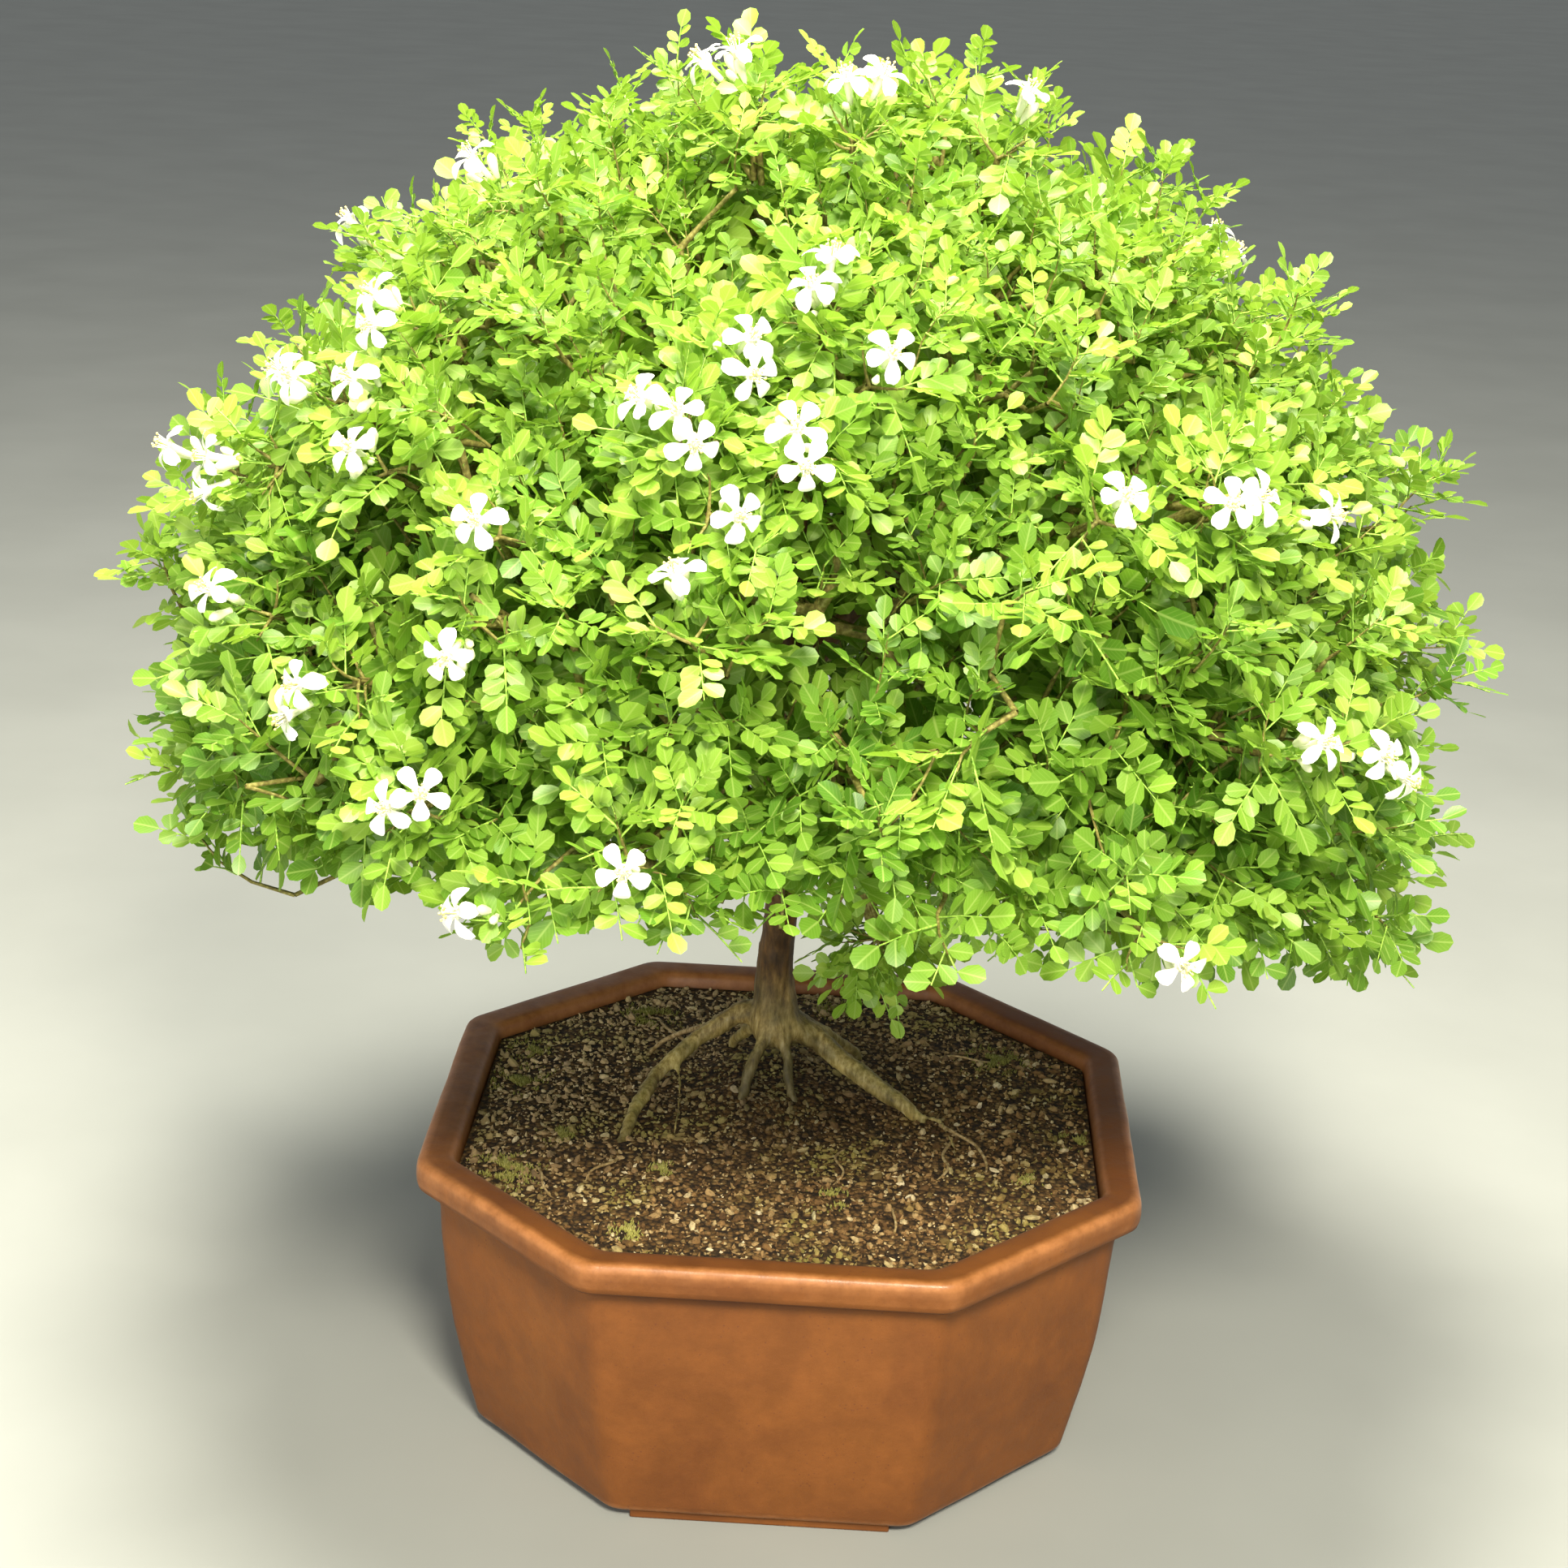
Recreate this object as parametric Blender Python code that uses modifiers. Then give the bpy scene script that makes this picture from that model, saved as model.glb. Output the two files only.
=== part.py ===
"""Orange jasmine bonsai in an eight-sided terracotta pot.

Metres, +Z up, the front towards -Y. The origin is at the bottom centre of the pot's feet.
Heights below are above the lower edge of the pot's wall. At the end all is raised by the feet.
The crown is cut into leafy branches, one node each. The twiggy core of each keeps to its own
cell of space, and each leaf is turned until it is clear of all that is there already.
"""

import math
import random

import bmesh
import bpy
from mathutils import Matrix, Vector
from mathutils.bvhtree import BVHTree

MM = 0.001
GAP = 0.3 * MM

# Pot: half widths across the flats, and heights above the wall's lower edge.
RIM_HALF = 155 * MM
RIM_CORNER = 80 * MM
WALL = 9 * MM
FOOT_HEIGHT = 4 * MM
FLOOR_TOP = 11 * MM
WALL_TOP = 116 * MM
LIP_TOP = 131 * MM
DRAIN_RADIUS = 9 * MM
DRAIN_SIDE = 45 * MM

# Soil: level at the wall and the height of the mound under the trunk.
SOIL_LEVEL = 126 * MM
SOIL_HALF = 137.6 * MM
MOUND_HEIGHT = 12 * MM
MOUND_SPREAD = 32 * MM
TRUNK_FOOT = Vector((-6, 22, 0)) * MM

# Crown: a dome about its widest level, flat below.
CROWN = Vector((-3, 3, 325)) * MM
CROWN_RADIUS = 287 * MM
CROWN_RISE = 272 * MM
CROWN_DROP = 76 * MM
CROWN_FLOOR = 274 * MM
LEFT_SHOULDER = Vector((-0.75, -0.1, 0.65)).normalized()

# Compound leaf, larger than life, so that few of them still cover the crown.
RIB_LENGTH = 60 * MM
LEAFLET_LENGTH = 42 * MM
LEAFLET_HALF = 0.35
RIB_HALF = 1.4 * MM
LEAF_THICKNESS = 0.8 * MM
LEAF_CLEARANCE = 1.3 * MM
LEAF_SPACING = 74 * MM
LEAF_TRIES = 120
CORE_DEPTH = 36 * MM

# Bloom: five petals on a slender tube.
BLOOM_RADIUS = 15 * MM
TUBE_LENGTH = 15 * MM

parts = None


def clear_scene():
    for obj in list(bpy.data.objects):
        bpy.data.objects.remove(obj, do_unlink=True)


def material(name, colour, roughness):
    made = bpy.data.materials.new(name)
    made.use_nodes = True
    shader = made.node_tree.nodes["Principled BSDF"]
    shader.inputs["Base Color"].default_value = (*colour, 1)
    shader.inputs["Roughness"].default_value = roughness
    shader.inputs["Metallic"].default_value = 0
    return made


def mesh_object(name, mesh, collection):
    obj = bpy.data.objects.new(name, mesh)
    collection.objects.link(obj)
    return obj


def from_bmesh(name, bm, collection):
    bmesh.ops.recalc_face_normals(bm, faces=bm.faces)
    mesh = bpy.data.meshes.new(name)
    bm.to_mesh(mesh)
    bm.free()
    return mesh_object(name, mesh, collection)


def applied(obj):
    """Replaces the object's mesh by its evaluated mesh, with no modifiers left."""
    bpy.context.view_layer.update()
    graph = bpy.context.evaluated_depsgraph_get()
    mesh = bpy.data.meshes.new_from_object(obj.evaluated_get(graph))
    obj.modifiers.clear()
    obj.data = mesh
    return obj


def fuse(body, pieces, operation="UNION"):
    """Joins the pieces to the body, or cuts them from it, in one Boolean, and removes them."""
    group = bpy.data.collections.new("pieces_of_" + body.name)
    bpy.context.scene.collection.children.link(group)
    for piece in pieces:
        for holder in list(piece.users_collection):
            holder.objects.unlink(piece)
        group.objects.link(piece)
    boolean = body.modifiers.new("fuse", "BOOLEAN")
    boolean.operation = operation
    boolean.operand_type = "COLLECTION"
    boolean.collection = group
    boolean.solver = "MANIFOLD"
    applied(body)
    for piece in pieces:
        bpy.data.objects.remove(piece, do_unlink=True)
    bpy.data.collections.remove(group)
    return body


def keep_main_shell(obj):
    """Fills any hollow that fusing sealed and drops loose scraps: only the largest shell stays."""
    bm = bmesh.new()
    bm.from_mesh(obj.data)
    left, shells = set(bm.verts), []
    while left:
        grown = [left.pop()]
        shell = set(grown)
        while grown:
            for edge in grown.pop().link_edges:
                for vertex in edge.verts:
                    if vertex in left:
                        left.discard(vertex)
                        shell.add(vertex)
                        grown.append(vertex)
        shells.append(shell)
    main = max(shells, key=len)
    bmesh.ops.delete(bm, geom=[v for v in bm.verts if v not in main], context="VERTS")
    bm.to_mesh(obj.data)
    bm.free()


def loft(name, rings, collection):
    """A closed solid through rings of the same number of points, with flat ends."""
    bm = bmesh.new()
    loops = [[bm.verts.new(point) for point in ring] for ring in rings]
    for lower, upper in zip(loops, loops[1:]):
        for i in range(len(lower)):
            j = (i + 1) % len(lower)
            bm.faces.new((lower[i], lower[j], upper[j], upper[i]))
    bm.faces.new(loops[0])
    bm.faces.new(loops[-1])
    return from_bmesh(name, bm, collection)


def tube(name, route, collection, sides_step=1):
    """A round tapered tube along a route of (point, radius), as a closed mesh."""
    curve = bpy.data.curves.new(name, "CURVE")
    curve.dimensions = "3D"
    curve.bevel_depth = 1.0
    curve.bevel_resolution = sides_step
    curve.use_fill_caps = True
    spline = curve.splines.new("POLY")
    spline.points.add(len(route) - 1)
    for place, (point, radius) in zip(spline.points, route):
        place.co = (*point, 1)
        place.radius = radius
    guide = bpy.data.objects.new(name, curve)
    bpy.context.scene.collection.objects.link(guide)
    bpy.context.view_layer.update()
    graph = bpy.context.evaluated_depsgraph_get()
    mesh = bpy.data.meshes.new_from_object(guide.evaluated_get(graph))
    bpy.data.objects.remove(guide, do_unlink=True)
    bm = bmesh.new()
    bm.from_mesh(mesh)
    bmesh.ops.remove_doubles(bm, verts=bm.verts, dist=0.00001)
    bm.to_mesh(mesh)
    bm.free()
    return mesh_object(name, mesh, collection)


def rod(name, start, end, radius, sides, collection):
    """A straight cylinder between two points."""
    axis = end - start
    bm = bmesh.new()
    turn = axis.to_track_quat("Z", "Y").to_matrix().to_4x4()
    place = Matrix.Translation((start + end) / 2) @ turn
    bmesh.ops.create_cone(
        bm, cap_ends=True, segments=sides, radius1=radius, radius2=radius,
        depth=axis.length, matrix=place,
    )
    return from_bmesh(name, bm, collection)


def block(name, centre, size, collection):
    bm = bmesh.new()
    place = Matrix.Translation(centre) @ Matrix.Diagonal((*size, 1))
    bmesh.ops.create_cube(bm, size=1, matrix=place)
    return from_bmesh(name, bm, collection)


def tree_of(obj):
    """The object's triangles, ready for tests against other shapes."""
    mesh = obj.data
    mesh.calc_loop_triangles()
    points = [vertex.co.copy() for vertex in mesh.vertices]
    return BVHTree.FromPolygons(points, [tuple(t.vertices) for t in mesh.loop_triangles])


def facing(azimuth, rise=0.0):
    """A unit direction: azimuth 0 is the front, 90 degrees is the right."""
    flat = math.cos(rise)
    return Vector((math.sin(azimuth) * flat, -math.cos(azimuth) * flat, math.sin(rise)))


# Pot

def octagon(half, z):
    """The pot's plan: a square with its corners cut, for a given half width across flats."""
    flat = half * (RIM_HALF - RIM_CORNER) / RIM_HALF
    corners = [(half, -flat), (half, flat), (flat, half), (-flat, half)]
    corners += [(-x, -y) for x, y in corners]
    return [Vector((x, y, z)) for x, y in corners]


def wall_half(z):
    """Half width of the pot's outer wall, which leans out and bows a little."""
    rise = z / WALL_TOP
    return 130 * MM + 16 * MM * rise + 3 * MM * math.sin(math.pi * rise)


def inner_half(z):
    return wall_half(z) - WALL


WALL_LEVELS = [FLOOR_TOP, 48 * MM, 82 * MM]


def make_pot():
    outer = [(wall_half(z), z) for z in [0, *WALL_LEVELS, WALL_TOP]]
    lip = [
        (RIM_HALF - 2.5 * MM, WALL_TOP + 0.5 * MM),
        (RIM_HALF, WALL_TOP + 3 * MM),
        (RIM_HALF, LIP_TOP - 5 * MM),
        (RIM_HALF - 2 * MM, LIP_TOP - 1.5 * MM),
        (RIM_HALF - 5 * MM, LIP_TOP),
        (RIM_HALF - 12 * MM, LIP_TOP),
        (RIM_HALF - 15.5 * MM, LIP_TOP - 2.5 * MM),
        (RIM_HALF - 18 * MM, LIP_TOP - 14 * MM),
    ]
    inner = [(inner_half(z), z) for z in reversed(WALL_LEVELS)]
    pot = loft("pot", [octagon(half, z) for half, z in outer + lip + inner], parts)
    feet = []
    for quarter in range(4):
        foot = block(
            "foot", Vector((0, -121 * MM, 1 * MM - FOOT_HEIGHT / 2)),
            (110 * MM, 14 * MM, FOOT_HEIGHT + 2 * MM), parts,
        )
        foot.data.transform(Matrix.Rotation(quarter * math.pi / 2, 4, "Z"))
        feet.append(foot)
    fuse(pot, feet)
    drains = [
        rod("drain", Vector((x, 0, -5 * MM)), Vector((x, 0, 20 * MM)), DRAIN_RADIUS, 12, parts)
        for x in (-DRAIN_SIDE, DRAIN_SIDE)
    ]
    fuse(pot, drains, "DIFFERENCE")
    pot.data.materials.append(material("Terracotta", (0.33, 0.12, 0.055), 0.65))


def make_drain_meshes():
    """A square of plastic mesh over each drain hole, under the soil."""
    side, bar, thick = 30 * MM, 3 * MM, 1.2 * MM
    window = (side - 3 * bar) / 2
    for name, x in (("drain_mesh_left", -DRAIN_SIDE), ("drain_mesh_right", DRAIN_SIDE)):
        centre = Vector((x, 0, FLOOR_TOP + GAP + thick / 2))
        sheet = block(name, centre, (side, side, thick), parts)
        step = (window + bar) / 2
        windows = [
            block(
                "window", centre + Vector((i * step, j * step, 0)),
                (window, window, 3 * thick), parts,
            )
            for i in (-1, 1) for j in (-1, 1)
        ]
        fuse(sheet, windows, "DIFFERENCE")
        sheet.data.materials.append(material("Drain mesh", (0.03, 0.03, 0.03), 0.6))


# Roots, trunk and limbs

def route(*points):
    """Route points given in millimetres as (x, y, z, radius)."""
    return [(Vector(point[:3]) * MM, point[3] * MM) for point in points]


TRUNK = route(
    (-6, 24, 150, 9), (-6, 24, 158, 13), (-7, 24, 168, 10.6), (-8, 23, 188, 8.2),
    (-6, 19, 212, 8), (-3, 13, 238, 8.5), (-3, 10, 280, 7), (-8, 5, 350, 5.4),
    (-12, 3, 420, 4), (-12, 3, 440, 3.4),
)
ROOTS = {
    "left": route(
        (-7, 24, 165, 8), (-23, 28, 162, 5.4), (-42, 23, 150, 4.3), (-59, 9, 138, 3.7),
        (-67, -15, 130, 3.2), (-71, -42, 123, 2.8), (-73, -50, 106, 2.3),
    ),
    "right": route(
        (-4, 25, 162, 8), (12, 24, 153, 6), (26, 16, 145, 5.2), (40, 8, 138.5, 4.8),
        (55, 3, 131, 3.9), (67, 1, 118, 3), (72, 0, 104, 2.4),
    ),
    "front_left": route(
        (-9, 18, 159, 4), (-14, 10, 150, 2.6), (-17, 4, 139, 2), (-18, 1, 120, 1.5),
    ),
    "front_right": route(
        (-3, 17, 158, 4), (0, 10, 148, 2.4), (1, 4, 138, 1.9), (2, 2, 120, 1.5),
    ),
    "back_left": route(
        (-8, 30, 160, 5), (-19, 46, 146, 3.4), (-27, 62, 132, 2.8), (-30, 70, 112, 2.2),
    ),
    "back_right": route(
        (0, 29, 160, 5), (17, 44, 146, 3.2), (31, 58, 131, 2.6), (35, 63, 112, 2),
    ),
    "rootlet_left": route(
        (-51, 17, 143, 1.8), (-48, 6, 136, 1.3), (-47, -14, 130, 1.1), (-48, -36, 125, 1),
        (-48, -42, 112, 0.9),
    ),
    "rootlet_right": route(
        (58, 3, 128, 2), (70, -3, 128, 1.3), (75, -21, 127.5, 1.1), (76.5, -33, 126, 1),
        (77, -38, 114, 0.9),
    ),
}


STOUT_ROOTS = ("left", "right", "back_left", "back_right")


def trunk_at(z):
    """The trunk's centre at a height."""
    for (low, _), (high, _) in zip(TRUNK, TRUNK[1:]):
        if low.z <= z <= high.z:
            return low.lerp(high, (z - low.z) / (high.z - low.z))
    return TRUNK[-1][0]


def soil_top(x, y):
    away = math.hypot(x - TRUNK_FOOT.x, y - TRUNK_FOOT.y)
    return SOIL_LEVEL + MOUND_HEIGHT * math.exp(-((away / MOUND_SPREAD) ** 2))


def make_soil():
    """Potting soil, which fills the pot to a low mound, with plain holes for the roots."""
    def ring(half, z):
        corners = octagon(half, z)
        points = []
        for i, corner in enumerate(corners):
            points += [corner, (corner + corners[(i + 1) % 8]) / 2]
        return points

    bottom = FLOOR_TOP + 1.8 * MM
    rings = [ring(inner_half(FLOOR_TOP) - GAP, bottom)]
    rings += [ring(inner_half(z) - GAP, z) for z in WALL_LEVELS[1:]]
    rings.append(ring(inner_half(WALL_TOP) - 2 * GAP, WALL_TOP))
    rings.append(ring(SOIL_HALF, SOIL_LEVEL - 2 * MM))
    crumbs = random.Random(5)
    for half in (105, 66, 40, 20):
        top = []
        for point in ring(half * MM, 0):
            x, y = point.x + TRUNK_FOOT.x / 2, point.y + TRUNK_FOOT.y * (1 - half / 140)
            top.append(Vector((x, y, soil_top(x, y) + crumbs.uniform(-1, 1) * MM)))
        rings.append(top)
    soil = loft("soil", rings, parts)
    holes = []
    for name, root in ROOTS.items():
        end, last = root[-1][0], root[-2][0]
        deeper = end + (end - last).normalized() * 0.4 * MM
        wider = [(point, radius + 0.4 * MM) for point, radius in root[:-1]]
        wider.append((deeper, root[-1][1] + 0.4 * MM))
        holes.append(tube("hole_" + name, wider, parts, 1 if name in STOUT_ROOTS else 0))
    fuse(soil, holes, "DIFFERENCE")
    soil.data.materials.append(material("Potting soil", (0.07, 0.042, 0.022), 0.95))


# Crown

def crown_reach(direction):
    """Distance from the crown's centre to the tips of its leaves, along a unit direction."""
    flat = math.hypot(direction.x, direction.y)
    if direction.z >= 0:
        reach = 1 / math.hypot(flat / CROWN_RADIUS, direction.z / CROWN_RISE)
    else:
        drop = CROWN_DROP + 16 * MM * direction.x
        power = 3.4
        sides = (flat / CROWN_RADIUS) ** power + (-direction.z / drop) ** power
        reach = sides ** (-1 / power)
    azimuth = math.atan2(direction.y, direction.x)
    lobes = 1 + 0.012 * math.sin(7 * azimuth + 5 * direction.z)
    dip = 0.05 * math.exp(-((direction - LEFT_SHOULDER).length / 0.35) ** 2)
    return reach * (lobes - dip)


def in_crown(point, inset):
    away = point - CROWN
    return away.length < crown_reach(away.normalized()) - inset


class Branch:
    """A leafy branch: the middle of its foliage, and what grows there."""

    def __init__(self, name, middle, core_size):
        self.name = name
        self.middle = middle
        self.core_size = core_size
        self.pieces = []


def crown_branches():
    draw = random.Random(3)
    made = []
    for ring, count, radius, height, start in (
        ("low", 8, 200, 306, 2), ("middle", 6, 124, 430, 28),
    ):
        for i in range(count):
            azimuth = math.radians(start + 360 / count * i + draw.uniform(-6, 6))
            out = facing(azimuth) * (radius + draw.uniform(-7, 7)) * MM
            middle = Vector((CROWN.x, CROWN.y, (height + draw.uniform(-7, 7)) * MM)) + out
            made.append(Branch(f"leafy_branch_{ring}_{i + 1}", middle, 96 * MM))
    made.append(Branch("leafy_branch_top", Vector((-12, 3, 512)) * MM, 90 * MM))
    made.append(Branch("leafy_sprig", Vector((34, -34, 236)) * MM, 9 * MM))
    return made


def in_cell(point, branch, branches, margin):
    """Whether a point is nearer to this branch's middle than to any other, by a margin."""
    for other in branches:
        if other is branch:
            continue
        across = other.middle - branch.middle
        beyond = (point - (other.middle + branch.middle) / 2).dot(across)
        if beyond > -margin * across.length:
            return False
    return True


def core_reach(branch, branches, direction):
    """How far the twiggy core of a leafy branch goes along a direction."""
    reach, step = 6 * MM, 2 * MM
    out = (branch.middle - CROWN).normalized()
    while reach < branch.core_size * (1 + 0.35 * direction.dot(out)):
        point = branch.middle + direction * (reach + step)
        stem = trunk_at(point.z)
        beside_trunk = math.hypot(point.x - stem.x, point.y - stem.y) < 58 * MM
        if not in_crown(point, CORE_DEPTH) or not in_cell(point, branch, branches, 3 * MM):
            break
        if beside_trunk and point.z < 464 * MM:
            break
        if point.z < CROWN_FLOOR:
            break
        reach += step
    return reach


def make_core(branch, branches, draw):
    bm = bmesh.new()
    small = branch.core_size < 20 * MM
    bmesh.ops.create_icosphere(bm, subdivisions=1 if small else 2, radius=1)
    for vertex in bm.verts:
        direction = vertex.co.normalized()
        reach = branch.core_size if small else core_reach(branch, branches, direction)
        vertex.co = branch.middle + direction * reach * draw.uniform(0.88, 1)
    branch.core = from_bmesh(branch.name, bm, parts)
    branch.core_tree = tree_of(branch.core)


def core_surface(branch, start):
    """Where a line from a point to the middle of the branch meets its core."""
    inward = (branch.middle - start).normalized()
    hit = branch.core_tree.ray_cast(start, inward)[0]
    return hit or branch.middle, inward


def fork(start, aim, reach, rise, radius):
    """A limb from the trunk to its fork, rising in a curve."""
    end = start + (aim - start) * reach + Vector((0, 0, rise))
    bend = start.lerp(end, 0.5) + Vector((0, 0, rise * 0.5))
    return [(start, radius * 1.15), (bend, radius), (end, radius * 0.9)]


def make_wood(branches):
    """Roots, trunk, limbs and their twigs, which grew as one piece."""
    wood = tube("trunk_roots_and_limbs", TRUNK, parts, 2)
    pieces = [
        tube(name, root, parts, 1 if name in STOUT_ROOTS else 0) for name, root in ROOTS.items()
    ]
    low = [b for b in branches if "_low_" in b.name]
    middle = [b for b in branches if "_middle_" in b.name]
    top = next(b for b in branches if b.name.endswith("_top"))
    sprig = next(b for b in branches if b.name.endswith("_sprig"))
    forks = {}
    for pairs, heights, rise in ((low, (236, 250, 243, 260), 10), (middle, (318, 336, 352), 14)):
        for i, height in enumerate(heights):
            pair = pairs[2 * i:2 * i + 2]
            aim = (pair[0].middle + pair[1].middle) / 2
            limb = fork(trunk_at(height * MM), aim, 0.42, rise * MM, 4.6 * MM)
            pieces.append(tube("limb", limb, parts))
            for branch in pair:
                forks[branch.name] = limb[-1][0]
    forks[top.name] = TRUNK[-1][0]
    crook = trunk_at(238 * MM)
    forks[sprig.name] = sprig.middle + Vector((-6, 12, 22)) * MM
    pieces.append(tube("limb", [
        (crook, 3 * MM), (crook.lerp(forks[sprig.name], 0.6) + Vector((0, 0, 6)) * MM, 2.2 * MM),
        (forks[sprig.name], 1.8 * MM),
    ], parts))
    for branch in branches:
        toward = (forks[branch.name] - branch.middle).normalized()
        surface = core_surface(branch, forks[branch.name])[0]
        end = surface + toward * 6 * MM
        if branch is sprig:
            end = surface + toward * 4 * MM
        size = 1.6 * MM if branch is sprig else 3 * MM
        start = forks[branch.name]
        if branch is top:
            twig = [(TRUNK[-2][0], 3.6 * MM), (TRUNK[-1][0], 3.3 * MM), (end, size)]
        else:
            twig = [(start - toward * size * 0.5, size * 1.25), (end, size)]
        pieces.append(tube("twig", twig, parts))
        stub = rod(
            "stub", end - toward * GAP, branch.middle, size, 6, parts,
        )
        branch.pieces.append(stub)
    fuse(wood, pieces)
    wood.data.materials.append(material("Bark", (0.2, 0.15, 0.07), 0.8))
    return wood


# Blooms: azimuth from the front in degrees, and height in millimetres, on the crown's surface.
BLOOMS = [
    (-27, 590), (8, 585), (52, 580), (-57, 550), (-47, 508), (-42, 484), (-54, 478),
    (-66, 441), (-56, 450), (-38, 464), (-48, 408), (-36, 389), (-24, 416), (-23, 452),
    (-9, 490), (1, 486), (-5, 463), (-7, 437), (-5, 514), (2, 526), (9, 508), (27, 467),
    (40, 463), (47, 457), (41, 382), (48, 372), (-27, 356), (-9, 350), (-19, 325), (30, 312),
]
BACK_BLOOMS = 7


def on_crown(azimuth, height):
    """The point on the crown's outline at an azimuth and a height, and its way out."""
    rise = -0.25
    while rise < 1.55:
        direction = facing(azimuth, rise)
        point = CROWN + direction * crown_reach(direction)
        if point.z >= height:
            break
        rise += 0.004
    return point, direction


def bloom_places():
    places = [on_crown(math.radians(a), z * MM) for a, z in BLOOMS]
    draw = random.Random(21)
    while len(places) < len(BLOOMS) + BACK_BLOOMS:
        azimuth = math.radians(draw.uniform(100, 260))
        point, out = on_crown(azimuth, draw.uniform(330, 570) * MM)
        if all((point - other).length > 90 * MM for other, _ in places):
            places.append((point, out))
    return places


def bloom_mesh():
    """A bloom along +Z from the foot of its tube, with its petals curved back."""
    bm = bmesh.new()
    throat, foot = 3.2 * MM, 1.4 * MM
    thickness = 0.8 * MM
    faces = {}
    for side, drop in (("top", 0), ("under", thickness)):
        hub = []
        for i in range(5):
            turn = math.tau * i / 5
            height = TUBE_LENGTH - drop
            hub.append(bm.verts.new((throat * math.cos(turn), throat * math.sin(turn), height)))
        petals = []
        for i in range(5):
            turn = math.tau * (i + 0.5) / 5
            out = Vector((math.cos(turn), math.sin(turn), 0))
            across = Vector((-out.y, out.x, 0))
            mid = out * 0.62 * BLOOM_RADIUS + Vector((0, 0, TUBE_LENGTH + 2.4 * MM - drop))
            tip = out * BLOOM_RADIUS + Vector((0, 0, TUBE_LENGTH + 0.4 * MM - drop))
            petals.append([bm.verts.new(p) for p in (
                mid - across * 3.6 * MM, tip, mid + across * 3.6 * MM,
            )])
        faces[side] = (hub, petals)
        for i, (right, tip, left) in enumerate(petals):
            a, b = hub[i], hub[(i + 1) % 5]
            bm.faces.new((a, right, b))
            bm.faces.new((b, right, left))
            bm.faces.new((left, right, tip))
    top_hub, top_petals = faces["top"]
    under_hub, under_petals = faces["under"]
    bm.faces.new(top_hub)
    for i in range(5):
        j = (i + 1) % 5
        rim = [top_hub[i], *top_petals[i], top_hub[j]]
        lower = [under_hub[i], *under_petals[i], under_hub[j]]
        for k in range(4):
            bm.faces.new((rim[k], rim[k + 1], lower[k + 1], lower[k]))
    ends = [
        bm.verts.new((foot * math.cos(math.tau * i / 5), foot * math.sin(math.tau * i / 5), 0))
        for i in range(5)
    ]
    for i in range(5):
        j = (i + 1) % 5
        bm.faces.new((under_hub[i], under_hub[j], ends[j], ends[i]))
    bm.faces.new(ends)
    bmesh.ops.recalc_face_normals(bm, faces=bm.faces)
    mesh = bpy.data.meshes.new("bloom")
    bm.to_mesh(mesh)
    bm.free()
    return mesh


def make_blooms(branches):
    """Places each bloom with its foot 0.3 mm off a green stalk, and returns its keep-out."""
    mesh = bloom_mesh()
    mesh.materials.append(material("White petal", (0.9, 0.9, 0.85), 0.5))
    draw = random.Random(8)
    kept_clear = []
    for number, (point, out) in enumerate(bloom_places()):
        axis = (out + Vector((draw.uniform(-0.3, 0.3), draw.uniform(-0.3, 0.1),
                              draw.uniform(-0.1, 0.25)))).normalized()
        foot = point - axis * (TUBE_LENGTH - 6 * MM)
        owner = min(branches, key=lambda b: (b.middle - foot).length)
        while not in_cell(foot, owner, branches, 4 * MM):
            foot += (owner.middle - foot).normalized() * 2 * MM
        surface = owner.core_tree.ray_cast(foot, -axis)[0]
        if surface is None or not in_cell(surface, owner, branches, 3 * MM):
            axis = (foot - owner.middle).normalized()
            surface = owner.core_tree.ray_cast(foot, -axis)[0]
        bloom = mesh_object(f"bloom_{number + 1:02d}", mesh, parts)
        turn = axis.to_track_quat("Z", "Y").to_matrix().to_4x4()
        spin = Matrix.Rotation(draw.uniform(0, math.tau), 4, "Z")
        bloom.matrix_world = Matrix.Translation(foot) @ turn @ spin
        owner.pieces.append(rod(
            "stalk", foot - axis * GAP, surface - axis * 6 * MM, 1.2 * MM, 4, parts,
        ))
        disc = rod(
            "disc", foot + axis * (TUBE_LENGTH - 3 * MM), foot + axis * (TUBE_LENGTH + 14 * MM),
            BLOOM_RADIUS + 2 * MM, 10, parts,
        )
        neck = rod("neck", surface, foot + axis * TUBE_LENGTH, 3.2 * MM, 5, parts)
        kept_clear += [tree_of(disc), tree_of(neck)]
        for guide in (disc, neck):
            bpy.data.objects.remove(guide, do_unlink=True)
    return kept_clear


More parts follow.
